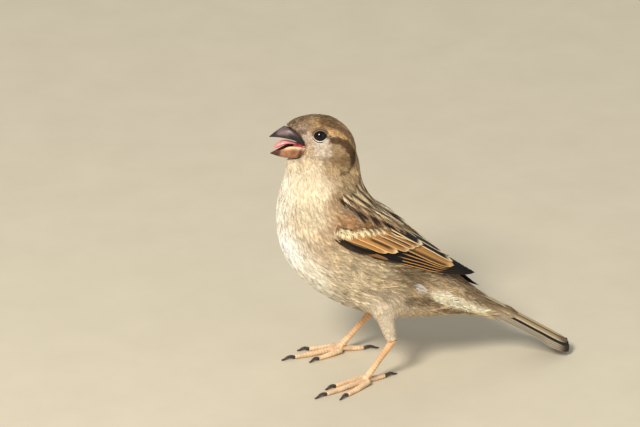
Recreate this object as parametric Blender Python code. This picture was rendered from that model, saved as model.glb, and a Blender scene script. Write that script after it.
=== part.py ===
"""A female house sparrow standing on the floor, head up and bill open, as life-size solids.

Lengths in the tables are millimetres. The bird looks along -X, its left side is at -Y and +Z is up.
The tables use a working frame with x 0 over the hips and z 0 on the floor; the last step moves the
bird so that the world origin lies under the middle of its bounding box.
"""

import math

import bmesh
import bpy
import numpy as np
from mathutils import Euler, Matrix, Vector

MM = 0.001
GAP = 0.3  # clearance between neighbouring solids
SIDES = {"left": -1, "right": 1}  # sign of y on each side

# ---------------------------------------------------------------- body: named cross-sections
# Each section runs from a point on the belly line to one on the back line, both (x, z) in the
# plane of symmetry, and has a half width and the place of its widest level (+ towards the back).
BODY_SECTIONS = {
    "inside_head": ((-33.4, 91.6), (-9.0, 95.0), 7.5, 0.0),
    "throat": ((-33.4, 87.0), (-5.0, 90.5), 9.6, 0.0),
    "neck": ((-34.6, 80.5), (-4.0, 84.6), 11.2, 0.0),
    "collar": ((-36.8, 72.5), (-2.8, 77.6), 13.8, 0.0),
    "mantle": ((-37.2, 63.5), (1.6, 69.8), 16.6, 0.05),
    "shoulder": ((-36.0, 54.4), (8.4, 61.4), 18.8, 0.1),
    "breast": ((-32.0, 45.6), (15.4, 54.0), 19.4, 0.1),
    "belly": ((-25.0, 37.4), (22.6, 47.2), 19.0, 0.1),
    "flank": ((-14.8, 29.8), (29.6, 41.2), 17.6, 0.1),
    "rump": ((-2.6, 24.8), (36.2, 35.4), 15.0, 0.05),
    "vent": ((12.0, 21.8), (43.0, 29.6), 11.6, 0.0),
    "under_coverts": ((27.0, 21.8), (49.4, 24.8), 8.2, 0.0),
    "coverts": ((41.0, 19.6), (56.0, 20.6), 6.6, 0.0),
    "coverts_tip": ((52.0, 16.2), (60.6, 17.2), 5.6, 0.0),
}
# Thin cuts between the body's parts, each a line through two (x, z) points
HEAD_CUT = ((-48.0, 86.0), (14.0, 90.5))
NECK_CUT = ((-50.0, 67.0), (20.0, 79.0))
RUMP_CUT = ((6.0, 10.0), (42.0, 50.0))
BODY_FULLNESS = 2.15  # exponent of the cross-section, 2 is an ellipse
BODY_RINGS = 48
BODY_SIDES = 28

# ---------------------------------------------------------------- head, in its own frame
# Head frame: x forward along the bill, y to the bird's left, z to the crown, origin mid head.
HEAD_CENTRE = (-20.6, 0.0, 97.6)
HEAD_ROLL = 11.0  # degrees that the crown leans to the bird's right
HEAD_TURN = 4.0  # degrees that the bill turns to the bird's right
HEAD_PITCH = 0.0  # degrees that the bill lifts
# station x: top z, bottom z, half width
HEAD_SECTIONS = {
    "brow_front": (13.4, 5.6, -5.2, 3.7),
    "forehead": (12.0, 6.9, -6.1, 4.5),
    "lores": (9.6, 8.5, -6.9, 5.6),
    "gape": (6.2, 9.6, -8.2, 6.9),
    "eye": (1.6, 10.1, -9.7, 9.0),
    "crown": (-2.6, 9.7, -10.6, 10.0),
    "cheek": (-6.4, 8.5, -11.0, 10.3),
    "hind_crown": (-9.9, 6.0, -10.8, 9.5),
    "occiput": (-12.9, 2.5, -9.8, 7.4),
    "nape": (-14.6, -1.6, -7.8, 3.8),
}
HEAD_FULLNESS = 2.1
HEAD_RINGS = 30

EYE_RADIUS = 2.9
EYE_PLACE = (-0.4, 6.6, 2.7)  # centre of the left eye
GAPE = (5.2, -1.9)  # corner of the mouth, (x, z)
CULMEN_BASE = (12.65, 5.85)
CHIN_BASE = (7.4, -7.4)
BASE_BOW = 1.6  # how far the feathered edge behind the upper bill bows back
MOUTH_REACH = 26.0  # how far ahead the mouth is cut clear

# Each bill section: ridge (x, z), cutting edge (x, z), half width, bow of its side towards the eye
UPPER_BILL = {
    "base": ((13.0, 5.55), (5.8, -1.55), 4.8, BASE_BOW),
    "nostril": ((13.7, 5.2), (8.3, 0.1), 4.3, 1.1),
    "middle": ((14.7, 4.65), (10.9, 0.95), 3.6, 0.6),
    "fore": ((15.8, 3.95), (13.4, 1.4), 2.7, 0.3),
    "hook": ((17.1, 3.0), (15.8, 1.65), 1.7, 0.1),
    "tip": ((18.3, 2.05), (17.8, 1.6), 0.7, 0.0),
    "point": ((18.8, 1.7), (18.65, 1.5), 0.15, 0.0),
}
LOWER_BILL = {
    "base": ((7.95, -7.0), (5.85, -2.2), 4.6, 0.0),
    "gonys": ((9.8, -7.05), (8.4, -1.85), 4.2, 0.0),
    "middle": ((12.2, -6.85), (11.2, -1.85), 3.5, 0.0),
    "fore": ((14.4, -6.4), (13.4, -2.75), 2.6, 0.0),
    "near_tip": ((16.5, -5.75), (16.0, -3.85), 1.6, 0.0),
    "tip": ((18.0, -5.15), (17.9, -4.55), 0.6, 0.0),
    "point": ((18.45, -4.95), (18.4, -4.7), 0.15, 0.0),
}
# Each tongue section: x, bottom z, top z, half width
TONGUE = {
    "root": (8.0, -1.6, -1.1, 1.2),
    "back": (10.2, -1.45, -0.35, 1.9),
    "hump": (12.4, -1.45, 0.15, 2.2),
    "middle": (14.3, -2.1, -0.1, 2.1),
    "blade": (15.9, -2.7, -1.0, 1.5),
    "tip": (17.0, -2.6, -2.1, 0.5),
}

# ---------------------------------------------------------------- wings
# Each section runs from the lower (primary) edge to the upper (tertial) edge of the folded wing:
# (x, half breadth y, z) for both, the outward bulge between them and the thickness.
WING_SECTIONS = {
    "bend": ((-18.4, 17.9, 61.6), (-14.2, 15.2, 72.8), 0.9, 1.8),
    "coverts": ((-10.6, 19.3, 57.2), (-5.6, 12.2, 73.2), 2.4, 3.2),
    "bar": ((-1.8, 19.2, 54.2), (3.4, 8.2, 69.2), 3.3, 3.6),
    "secondaries": ((7.2, 18.0, 50.4), (11.8, 5.8, 62.6), 3.4, 3.6),
    "tertials": ((16.2, 15.4, 46.8), (20.4, 4.2, 55.2), 3.0, 3.2),
    "primaries": ((25.2, 11.2, 43.6), (28.4, 3.0, 48.0), 2.2, 2.4),
    "hand": ((33.0, 7.2, 40.8), (35.2, 2.4, 43.0), 1.2, 1.6),
    "tip": ((39.8, 4.6, 38.3), (40.6, 3.0, 39.2), 0.3, 0.8),
}
WING_RINGS = 18
WING_SIDES = 14
# How far each folded wing is set back, how much lower it lies, and how much more its tip hangs
WING_SET = {"left": (0.0, 0.0, 0.0), "right": (2.4, 4.6, 4.2)}
WING_CUTS = {"coverts": (0.0, 0.30), "flight": (0.30, 0.74), "tip": (0.74, 1.0)}

# ---------------------------------------------------------------- tail
TAIL_ROOT = (45.0, 22.8)  # (x, z), inside the coverts
TAIL_TIP = (78.9, 2.3)
TAIL_HALF_WIDTHS = (4.8, 6.4)  # at the root and at the tip
TAIL_THICKNESS = (2.6, 1.3)
TAIL_NOTCH = 1.4  # depth of the notch in its end
TAIL_CROWN = 0.8  # how far the middle feathers lie above the edges

# ---------------------------------------------------------------- legs and feet
KNEE = {"left": (0.6, -10.0, 38.0), "right": (-3.4, 10.5, 38.0)}
ANKLE = {"left": (6.3, -14.3, 16.4), "right": (2.9, 13.7, 16.6)}
FOOT = {"left": (-4.6, -15.8, 1.6), "right": (-10.0, 14.2, 1.6)}
TIBIA_RADII = (7.0, 6.0, 4.4, 3.5, 2.6)  # from the knee to the ankle
TARSUS_RADII = (1.6, 1.4, 1.2, 1.2, 1.45)  # from the ankle to the foot
TOE_RADII = (1.3, 1.2, 1.12, 1.05, 0.82)  # from the foot to the claw
TOE_BASE = 4.2  # length of toe that is part of the foot
# toe: (root's distance towards the outside, length, direction in degrees from straight ahead,
# + to the outside, claw length, joints)
TOES = {
    "left": {
        "inner": (-2.7, 11.6, 22.5, 4.4, 2),
        "middle": (0.0, 18.4, 27.0, 5.4, 3),
        "outer": (2.1, 12.6, 41.5, 4.6, 4),
        "hallux": (0.0, 9.2, 204.0, 5.4, 2),
    },
    "right": {
        "inner": (-2.2, 10.6, -26.0, 4.4, 2),
        "middle": (0.0, 18.6, -12.5, 5.4, 3),
        "outer": (2.2, 11.0, 1.0, 4.6, 4),
        "hallux": (0.0, 9.8, 180.0, 5.8, 2),
    },
}

COLOURS = {  # material: base colour, roughness
    "plumage": ((0.45, 0.36, 0.25), 0.8),
    "wing": ((0.32, 0.2, 0.1), 0.7),
    "tail": ((0.2, 0.15, 0.1), 0.7),
    "bill": ((0.16, 0.11, 0.1), 0.4),
    "bill_lower": ((0.5, 0.3, 0.17), 0.4),
    "tongue": ((0.75, 0.25, 0.25), 0.35),
    "eye": ((0.02, 0.012, 0.01), 0.05),
    "leg": ((0.7, 0.42, 0.26), 0.5),
    "claw": ((0.06, 0.045, 0.04), 0.35),
}


# ---------------------------------------------------------------- curves and meshes
def smooth_rows(rows, count):
    """Catmull-Rom through the rows of a table, read at evenly spaced places."""
    rows = np.array(rows, float)
    ends = np.vstack([2 * rows[0] - rows[1], rows, 2 * rows[-1] - rows[-2]])
    place = np.linspace(0, len(rows) - 1, count)
    i = np.minimum(place.astype(int), len(rows) - 2)
    t = (place - i)[:, None]
    a, b, c, d = ends[i], ends[i + 1], ends[i + 2], ends[i + 3]
    return 0.5 * (2 * b + (c - a) * t + (2 * a - 5 * b + 4 * c - d) * t**2 + (3 * b - a - 3 * c + d) * t**3)


def flat(section):
    """A table row with its points opened into plain numbers."""
    return [n for part in section for n in (part if isinstance(part, tuple) else (part,))]


def power(value, exponent):
    return np.sign(value) * np.abs(value) ** exponent


def material(name):
    found = bpy.data.materials.get(name)
    if found:
        return found
    colour, roughness = COLOURS[name]
    made = bpy.data.materials.new(name)
    made.use_nodes = True
    shader = made.node_tree.nodes["Principled BSDF"]
    shader.inputs["Base Color"].default_value = (*colour, 1.0)
    shader.inputs["Roughness"].default_value = roughness
    return made


def new_object(name, points, faces, look=None):
    """A closed mesh object from points in millimetres, with its faces turned outwards."""
    mesh = bpy.data.meshes.new(name)
    mesh.from_pydata([tuple(np.array(p) * MM) for p in points], [], faces)
    form = bmesh.new()
    form.from_mesh(mesh)
    bmesh.ops.remove_doubles(form, verts=form.verts, dist=1e-6)
    bmesh.ops.recalc_face_normals(form, faces=form.faces)
    form.to_mesh(mesh)
    form.free()
    mesh.shade_smooth()
    made = bpy.data.objects.new(name, mesh)
    bpy.context.scene.collection.objects.link(made)
    if look:
        mesh.materials.append(material(look))
    return made


def loft(name, rings, look=None):
    """Joins equal rings of points into a closed tube with flat ends."""
    count, sides = len(rings), len(rings[0])
    faces = [
        (i * sides + j, i * sides + (j + 1) % sides, (i + 1) * sides + (j + 1) % sides, (i + 1) * sides + j)
        for i in range(count - 1)
        for j in range(sides)
    ]
    faces += [tuple(range(sides)), tuple(range((count - 1) * sides, count * sides))]
    return new_object(name, np.concatenate(rings), faces, look)


def prism(name, outline, half_width, place=lambda points: points):
    """A cutter: a polygon in the plane of symmetry, carried out to both sides and then placed."""
    count = len(outline)
    points = [(x, y, z) for y in (-half_width, half_width) for x, z in outline]
    faces = [(i, (i + 1) % count, count + (i + 1) % count, count + i) for i in range(count)]
    faces += [tuple(range(count)), tuple(range(count, 2 * count))]
    return as_helper(new_object(name, place(points), faces))


def as_helper(made):
    """Marks an object as a cutter or a guide, which is not part of the bird."""
    made.hide_render = True
    made.display_type = "WIRE"
    return made


def evaluated_copy(source, name, look=None):
    """A new object holding another's mesh with its modifiers applied."""
    graph = bpy.context.evaluated_depsgraph_get()
    mesh = bpy.data.meshes.new_from_object(source.evaluated_get(graph))
    mesh.name = name
    made = bpy.data.objects.new(name, mesh)
    made.matrix_world = source.matrix_world
    bpy.context.scene.collection.objects.link(made)
    mesh.materials.clear()
    if look:
        mesh.materials.append(material(look))
    return made


def boolean(target, cutter, operation):
    modifier = target.modifiers.new(f"{operation.lower()} {cutter.name}", "BOOLEAN")
    modifier.operation = operation
    modifier.object = cutter
    modifier.solver = "EXACT"


def grown(source, name, distance):
    """A helper copy of a solid, swollen by a distance in millimetres."""
    swell = source.modifiers.new("swell", "DISPLACE")
    swell.strength = distance * MM
    swell.mid_level = 0.0
    made = as_helper(evaluated_copy(source, name))
    source.modifiers.remove(swell)
    return made


# ---------------------------------------------------------------- body and head
def section_ring(low, high, half_width, level, fullness, sides):
    """A closed ring between two points of the plane of symmetry, widest a little off its middle."""
    turn = np.linspace(0, 2 * math.pi, sides, endpoint=False)
    up = -power(np.cos(turn), 2 / fullness)
    out = power(np.sin(turn), 2 / fullness)
    up = up + level * (1 - up**2)
    share = (up + 1) / 2
    low, high = np.array(low), np.array(high)
    flat_points = low + (high - low) * share[:, None]
    return np.stack([flat_points[:, 0], half_width * out, flat_points[:, 1]], 1)


def body_loft():
    rows = smooth_rows([flat(s) for s in BODY_SECTIONS.values()], BODY_RINGS)
    return loft(
        "body_loft",
        [section_ring(r[0:2], r[2:4], r[4], r[5], BODY_FULLNESS, BODY_SIDES) for r in rows],
    )


def head_placement():
    """Carries the head frame (forward, left, up) into the working frame."""
    own_axes = Matrix(((-1, 0, 0), (0, -1, 0), (0, 0, 1)))
    lean = Euler((math.radians(-HEAD_ROLL), 0, 0)).to_matrix()
    lift = Euler((0, math.radians(HEAD_PITCH), 0)).to_matrix()
    turn = Euler((0, 0, math.radians(-HEAD_TURN))).to_matrix()
    return np.array(turn @ lift @ lean @ own_axes), np.array(HEAD_CENTRE)


def from_head(points):
    turn, centre = head_placement()
    return np.asarray(points, float) @ turn.T + centre


def head_loft():
    rows = smooth_rows(list(HEAD_SECTIONS.values()), HEAD_RINGS)
    rings = []
    for x, top, bottom, half_width in rows:
        ring = section_ring((x, bottom), (x, top), half_width, 0.0, HEAD_FULLNESS, BODY_SIDES)
        rings.append(from_head(ring))
    return loft("head_loft", rings)


def flesh():
    """Head and body as one smooth closed form, without the bill, eyes, wings, tail and legs."""
    body, head = as_helper(body_loft()), as_helper(head_loft())
    boolean(body, head, "UNION")
    whole = as_helper(evaluated_copy(body, "flesh"))
    remesh = whole.modifiers.new("remesh", "REMESH")
    remesh.mode = "VOXEL"
    remesh.voxel_size = 1.1 * MM
    remesh.use_smooth_shade = True
    soften = whole.modifiers.new("soften", "SMOOTH")
    soften.factor = 0.5
    soften.iterations = 6
    thin = whole.modifiers.new("thin", "DECIMATE")
    thin.ratio = 0.096
    done = as_helper(evaluated_copy(whole, "flesh_form"))
    for helper in (body, head, whole):
        bpy.data.objects.remove(helper)
    return done


def bowed(start, end, bow, share):
    """Places between two (x, z) points, on a curve that bows away to its upper left."""
    start, end = np.array(start), np.array(end)
    along = (end - start) / np.linalg.norm(end - start)
    rise = np.array([-along[1], along[0]])
    share = np.asarray(share, float)[..., None]
    return start + (end - start) * share + rise * bow * np.sin(math.pi * share)


def mouth_cutter():
    """Clears the space in front of the feathered face, above and below the corner of the mouth."""
    base = [tuple(place) for place in bowed(GAPE, CULMEN_BASE, BASE_BOW, np.linspace(0, 1, 9))]
    above = [*base, (14.4, 9.0), (MOUTH_REACH, 14.0)]
    below = [(MOUTH_REACH, CHIN_BASE[1]), CHIN_BASE]
    return prism("mouth_cutter", above + below, 12.0, from_head)


def sphere(name, centre, radius, look=None, rings=9, sides=14):
    bands = []
    for i in range(1, rings):
        turn = math.pi * i / rings
        angle = np.linspace(0, 2 * math.pi, sides, endpoint=False)
        ring = np.stack(
            [np.full(sides, math.cos(turn)), math.sin(turn) * np.cos(angle), math.sin(turn) * np.sin(angle)],
            1,
        )
        bands.append(np.array(centre) + radius * ring)
    return loft(name, bands, look)


def shifted(line, distance):
    """A line of two (x, z) points moved square to itself, + upwards."""
    (ax, az), (bx, bz) = line
    long = math.hypot(bx - ax, bz - az)
    dx, dz = -(bz - az) / long * distance, (bx - ax) / long * distance
    return [(ax + dx, az + dz), (bx + dx, bz + dz)]


def cut_body(form, hollows):
    """Parts the flesh with thin plane cuts into head, neck, trunk and rump."""
    half = GAP / 2
    under_head, over_neck = shifted(HEAD_CUT, half), shifted(HEAD_CUT, -half)
    under_neck, over_trunk = shifted(NECK_CUT, half), shifted(NECK_CUT, -half)
    behind_trunk, before_rump = shifted(RUMP_CUT, half), shifted(RUMP_CUT, -half)
    outlines = {
        "head": [*under_head, (14.0, 120.0), (-48.0, 120.0)],
        "neck": [*under_neck, *over_neck[::-1]],
        "trunk": [(-60.0, 10.0), *behind_trunk, *over_trunk[::-1]],
        "rump": [before_rump[0], (100.0, 0.0), (100.0, 50.0), before_rump[1]],
    }
    for name, outline in outlines.items():
        piece = evaluated_copy(form, name, "plumage")
        boolean(piece, prism(f"{name}_slab", outline, 40.0), "INTERSECT")
        for hollow in hollows.get(name, ()):
            boolean(piece, hollow, "DIFFERENCE")


# ---------------------------------------------------------------- bill, tongue and eyes
def bill_ring(ridge, edge, half_width, bow, hollow, sides=13):
    """A rounded vault from one cutting edge over the ridge to the other, closed by a shallow hollow."""
    turn = np.linspace(0, math.pi, sides - 3)
    over = [(math.cos(t), math.sin(t) ** 0.9) for t in turn]
    under = [(c, hollow * (1 - c * c)) for c in (-0.6, 0.0, 0.6)]
    points = []
    for across, height in over + under:
        x, z = bowed(edge, ridge, bow, height)
        points.append((x, across * half_width, z))
    return np.array(points)


def bill(name, sections, hollow, look):
    rows = smooth_rows([flat(s) for s in sections.values()], 11)
    rings = [from_head(bill_ring(r[0:2], r[2:4], max(r[4], 0.15), r[5], hollow)) for r in rows]
    return loft(name, rings, look)


def tongue():
    rows = smooth_rows(list(TONGUE.values()), 8)
    rings = []
    for x, bottom, top, half_width in rows:
        rings.append(from_head(section_ring((x, bottom), (x, top), half_width, -0.2, 2.3, 10)))
    return loft("tongue", rings, "tongue")


def eyes():
    """Both eyeballs, and the sockets that the head is cut with."""
    sockets = []
    for side, sign in SIDES.items():
        x, y, z = EYE_PLACE
        centre = from_head([(x, -sign * y, z)])[0]
        sphere(f"eye_{side}", centre, EYE_RADIUS, "eye")
        sockets.append(as_helper(sphere(f"socket_{side}", centre, EYE_RADIUS + GAP)))
    return sockets


# ---------------------------------------------------------------- wings and tail
def wing_rings(side):
    sign = SIDES[side]
    back, lower, droop = WING_SET[side]
    rows = smooth_rows([flat(s) for s in WING_SECTIONS.values()], WING_RINGS)
    turn = np.linspace(0, 2 * math.pi, WING_SIDES, endpoint=False)
    rings = []
    for i, r in enumerate(rows):
        low, high, bulge, thick = r[0:3], r[3:6], r[6], r[7]
        across = (1 - np.cos(turn)) / 2
        outward = bulge * 4 * across * (1 - across) + thick / 2 * power(np.sin(turn), 0.8)
        ring = low + (high - low) * across[:, None]
        lean = np.array([0.0, high[2] - low[2], low[1] - high[1]])
        ring += outward[:, None] * lean / np.linalg.norm(lean)
        ring[:, 1] *= sign
        ring[:, 0] += back
        ring[:, 2] -= lower + droop * (i / (len(rows) - 1)) ** 2
        rings.append(ring)
    return rings


def wings(body):
    """Each folded wing, laid against the body and parted into coverts, flight feathers and tip."""
    bed = grown(body, "body_bed", GAP)
    for side in SIDES:
        rings = wing_rings(side)
        last = len(rings) - 1
        for part, (start, end) in WING_CUTS.items():
            first, final = round(start * last), round(end * last)
            pieces = [r.copy() for r in rings[first : final + 1]]
            if start > 0:  # a thin cut from the part before
                step = pieces[1] - pieces[0]
                length = np.linalg.norm(step.mean(0))
                pieces[0] = pieces[0] + step * (GAP / length)
            wing = loft(f"wing_{part}_{side}", pieces, "wing")
            boolean(wing, bed, "DIFFERENCE")


def tail_rings(grow):
    """The folded tail from its root to its notched end, swollen by grow."""
    root, tip = np.array(TAIL_ROOT), np.array(TAIL_TIP)
    along = (tip - root) / np.linalg.norm(tip - root)
    rise = np.array([-along[1], along[0]])
    turn = np.linspace(0, 2 * math.pi, 16, endpoint=False)
    rings = []
    for t in np.linspace(0, 1, 7):
        half = np.interp(t, (0, 1), TAIL_HALF_WIDTHS) + grow
        thick = np.interp(t, (0, 1), TAIL_THICKNESS) / 2 + grow
        y = half * np.cos(turn)
        middle = 1 - (y / half) ** 2
        reach = (np.linalg.norm(tip - root) + grow) * t - TAIL_NOTCH * middle * t**3
        height = thick * power(np.sin(turn), 0.7) + TAIL_CROWN * (middle - 0.5)
        centre = root + np.outer(reach, along) + np.outer(height, rise)
        rings.append(np.stack([centre[:, 0], y, centre[:, 1]], 1))
    return rings


# ---------------------------------------------------------------- legs and feet
def tube(name, path, radii, look, sides=12, flatten=1.0, floor=True):
    """A round tube along a path of points, its lowest faces pressed flat on the floor."""
    path = np.array(path, float)
    forward = np.gradient(path, axis=0)
    forward /= np.linalg.norm(forward, axis=1)[:, None]
    side = np.cross(forward, (0.0, 0.0, 1.0))
    side /= np.linalg.norm(side, axis=1)[:, None]
    over = np.cross(side, forward)
    turn = np.linspace(0, 2 * math.pi, sides, endpoint=False)
    rings = []
    for p, s, o, r in zip(path, side, over, radii):
        ring = p + r * (np.outer(np.cos(turn), s) + flatten * np.outer(np.sin(turn), o))
        if floor:
            ring[:, 2] = np.maximum(ring[:, 2], 0.0)
        rings.append(ring)
    return loft(name, rings, look)


def spread(values, count):
    return np.interp(np.linspace(0, 1, count), np.linspace(0, 1, len(values)), values)


def tibia(side, beds):
    """The feathered part of the leg, from inside the body down to the ankle."""
    knee, ankle = np.array(KNEE[side]), np.array(ANKLE[side])
    share = np.linspace(0, 1, 9)[:, None]
    path = knee + (ankle - knee) * share
    leg = tube(f"tibia_{side}", path, spread(TIBIA_RADII, 9), "plumage", sides=12, floor=False)
    for bed in beds:
        boolean(leg, bed, "DIFFERENCE")


def tarsus(name, side, grow):
    """The bare shank from the ankle knob down to the foot, swollen by grow."""
    ankle, foot = np.array(ANKLE[side]), np.array(FOOT[side])
    down = (foot - ankle) / np.linalg.norm(foot - ankle)
    start, end = ankle - down * (1.2 + grow), foot - down * (2.2 - grow)
    path = start + (end - start) * np.linspace(0, 1, 8)[:, None]
    return tube(name, path, spread(TARSUS_RADII, 8) + grow, "leg", sides=8)


def heading(side, degrees):
    """The level direction at an angle from straight ahead, + to the outside."""
    turn = math.radians(degrees)
    return np.array([-math.cos(turn), SIDES[side] * math.sin(turn), 0.0])


def toe_point(side, toe, distance):
    """A point on a toe's centre line, a distance from its root, sinking towards the floor."""
    root, length, degrees = TOES[side][toe][0:3]
    start = np.array(FOOT[side]) + root * heading(side, TOES[side]["middle"][2] + 90)
    point = start + distance * heading(side, degrees)
    point[2] = np.interp(distance / length, (0, 0.3, 1), (start[2], 1.1, 0.75))
    return point


def toe_radius(side, toe, distance):
    length, joints = TOES[side][toe][1], TOES[side][toe][4]
    share = distance / length
    swell = 1 + 0.08 * math.cos(2 * math.pi * joints * share)
    return float(np.interp(share, np.linspace(0, 1, len(TOE_RADII)), TOE_RADII)) * swell


def toe_tube(name, side, toe, start, end, look="leg"):
    places = np.linspace(start, end, max(3, round((end - start) * 0.6)))
    path = [toe_point(side, toe, d) for d in places]
    return tube(name, path, [toe_radius(side, toe, d) for d in places], look, sides=8)


def foot(side):
    """The ball of the foot joined with the first stretch of each toe."""
    x, y, z = FOOT[side]
    ball = sphere(f"foot_{side}", (x, y, z), 1.9, "leg", rings=6, sides=10)
    for vertex in ball.data.vertices:
        vertex.co.z = max(vertex.co.z, 0.0)
    for toe in TOES[side]:
        base = toe_tube(f"{toe}_base_{side}", side, toe, 0.0, TOE_BASE)
        boolean(ball, as_helper(base), "UNION")


def claw(side, toe):
    """A curved claw that leaves the toe level and bends down to the floor."""
    _, length, degrees, reach, _ = TOES[side][toe]
    start = toe_point(side, toe, length + GAP)
    ahead = heading(side, degrees)
    path, radii = [], []
    for t in np.linspace(0, 1, 6):
        rise = 0.72 * math.sin(math.pi * min(t * 1.25, 1.0)) - 0.34 * t
        path.append(start + ahead * reach * t + np.array([0, 0, rise]))
        radii.append(0.45 * (1 - t) ** 0.7 + 0.2)
    return tube(f"claw_{toe}_{side}", path, radii, "claw", sides=6, flatten=1.1)


def legs(body):
    for side in SIDES:
        tarsus(f"tarsus_{side}", side, 0.0)
        tibia(side, [body, as_helper(tarsus(f"ankle_bed_{side}", side, GAP))])
        foot(side)
        for toe, (_, length, _, _, _) in TOES[side].items():
            toe_tube(f"toe_{toe}_{side}", side, toe, TOE_BASE + GAP, length)
            claw(side, toe)


# ---------------------------------------------------------------- the whole bird
def clear_scene():
    for old in list(bpy.data.objects):
        bpy.data.objects.remove(old)


def centre_on_floor():
    """Moves everything so that the origin is under the middle of the bird's bounding box."""
    graph = bpy.context.evaluated_depsgraph_get()
    shown = [o for o in bpy.data.objects if o.type == "MESH" and not o.hide_render]
    corners = [
        o.matrix_world @ Vector(c) for o in shown for c in o.evaluated_get(graph).bound_box
    ]
    low = np.min(corners, axis=0)
    high = np.max(corners, axis=0)
    shift = Vector((-(low[0] + high[0]) / 2, -(low[1] + high[1]) / 2, -low[2]))
    for made in bpy.data.objects:
        made.location += shift


def build():
    clear_scene()
    form = flesh()
    body_edge = grown(form, "body_edge", GAP)
    sockets = eyes()
    tail = loft("tail", tail_rings(0.0), "tail")
    tail_slot = as_helper(loft("tail_slot", tail_rings(GAP), None))
    cut_body(form, {"head": [mouth_cutter(), *sockets], "rump": [tail_slot]})
    bill("bill_upper", UPPER_BILL, 0.25, "bill")
    bill("bill_lower", LOWER_BILL, 0.12, "bill_lower")
    tongue()
    wings(form)
    legs(body_edge)
    centre_on_floor()


build()
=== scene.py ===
"""A female house sparrow with her bill open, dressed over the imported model.

A skin lies under the plumage, small feathers of loose barbs grow from it, and the wings, mantle and
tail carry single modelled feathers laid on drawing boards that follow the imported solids.
Lengths are millimetres until a mesh is made. Places come from the frame: a head frame set up on the
eyes and the bill, a wing frame on each folded wing, and the plane of symmetry of the trunk.
"""

import math
from itertools import product

import bpy
import numpy as np
from mathutils import Matrix, Vector
from mathutils.bvhtree import BVHTree


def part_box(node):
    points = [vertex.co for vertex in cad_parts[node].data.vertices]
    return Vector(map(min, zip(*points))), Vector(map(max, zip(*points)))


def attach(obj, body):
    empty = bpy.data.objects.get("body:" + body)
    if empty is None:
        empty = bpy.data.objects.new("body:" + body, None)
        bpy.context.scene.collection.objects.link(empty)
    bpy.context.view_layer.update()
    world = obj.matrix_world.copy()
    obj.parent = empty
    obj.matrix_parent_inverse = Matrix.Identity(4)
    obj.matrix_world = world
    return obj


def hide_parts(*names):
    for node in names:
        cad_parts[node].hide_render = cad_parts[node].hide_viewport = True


MM = 0.001
SIDES = {"left": -1, "right": 1}  # sign of y on each side
RANDOM = np.random.default_rng(11)

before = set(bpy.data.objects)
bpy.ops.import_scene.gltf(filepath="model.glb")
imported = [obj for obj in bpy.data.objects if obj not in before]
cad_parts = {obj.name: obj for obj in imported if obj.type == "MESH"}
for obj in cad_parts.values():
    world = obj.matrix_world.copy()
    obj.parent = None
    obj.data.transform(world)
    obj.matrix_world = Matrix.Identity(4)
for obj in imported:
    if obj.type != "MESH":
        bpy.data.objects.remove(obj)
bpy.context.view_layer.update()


# ---------------------------------------------------------------- small tools
def unit(vectors):
    return vectors / np.maximum(np.linalg.norm(vectors, axis=-1, keepdims=True), 1e-9)


def laid_on(directions, normals):
    """Directions turned flat onto a surface with these normals."""
    return unit(directions - normals * (directions * normals).sum(1, keepdims=True))


def smoothstep(low, high, value):
    share = np.clip((np.asarray(value, float) - low) / (high - low), 0, 1)
    return share * share * (3 - 2 * share)


def mix(first, second, share):
    share = np.asarray(share, float)[..., None]
    return np.asarray(first) * (1 - share) + np.asarray(second) * share


def tint(red, green, blue):
    """A colour given as it shows on a screen, 0 to 255, as linear light."""
    shown = np.array([red, green, blue]) / 255
    return np.where(shown <= 0.04045, shown / 12.92, ((shown + 0.055) / 1.055) ** 2.4)


def smooth_rows(rows, count):
    """Catmull-Rom through the rows of a table, read at evenly spaced places."""
    rows = np.array(rows, float)
    ends = np.vstack([2 * rows[0] - rows[1], rows, 2 * rows[-1] - rows[-2]])
    place = np.linspace(0, len(rows) - 1, count)
    i = np.minimum(place.astype(int), len(rows) - 2)
    t = (place - i)[:, None]
    a, b, c, d = (ends[i + k] for k in range(4))
    return 0.5 * (2 * b + (c - a) * t + (2 * a - 5 * b + 4 * c - d) * t**2 + (3 * b - a - 3 * c + d) * t**3)


def node_points(*names):
    """The corners of CAD nodes, in millimetres."""
    return np.concatenate([mesh_arrays(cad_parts[name].data)[0] / MM for name in names])


def node_middle(name):
    low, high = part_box(name)
    return (np.array(low) + np.array(high)) / 2 / MM


MIDLINE = node_middle("trunk")[1]
BODY_ORIGIN = np.array([node_middle("trunk")[0] + 21.4, MIDLINE, 0.0])  # body places are counted from here
CELLS = 32  # size of the noise's lattice
LATTICE = RANDOM.random((CELLS, CELLS, CELLS))


def mottle(points, size):
    """Soft noise from 0 to 1 whose blotches are about size across."""
    places = np.asarray(points) / size
    cell = np.floor(places).astype(int)
    t = smoothstep(0, 1, places - cell)
    total = np.zeros(len(places))
    for corner in np.ndindex(2, 2, 2):
        weight = np.prod(np.where(corner, t, 1 - t), axis=1)
        total += weight * LATTICE[tuple(((cell + corner) % CELLS).T)]
    return total


# ---------------------------------------------------------------- meshes
def mesh_object(name, points, faces):
    """An object from points in millimetres and an array of triangles or quads."""
    points, faces = np.asarray(points, float), np.asarray(faces, int)
    count, corners = faces.shape
    mesh = bpy.data.meshes.new(name)
    mesh.vertices.add(len(points))
    mesh.vertices.foreach_set("co", (points * MM).ravel())
    mesh.loops.add(faces.size)
    mesh.loops.foreach_set("vertex_index", faces.ravel())
    mesh.polygons.add(count)
    mesh.polygons.foreach_set("loop_start", np.arange(count) * corners)
    mesh.polygons.foreach_set("loop_total", np.full(count, corners))
    mesh.polygons.foreach_set("use_smooth", np.full(count, True))
    mesh.update(calc_edges=True)
    made = bpy.data.objects.new(name, mesh)
    bpy.context.scene.collection.objects.link(made)
    return made


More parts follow.
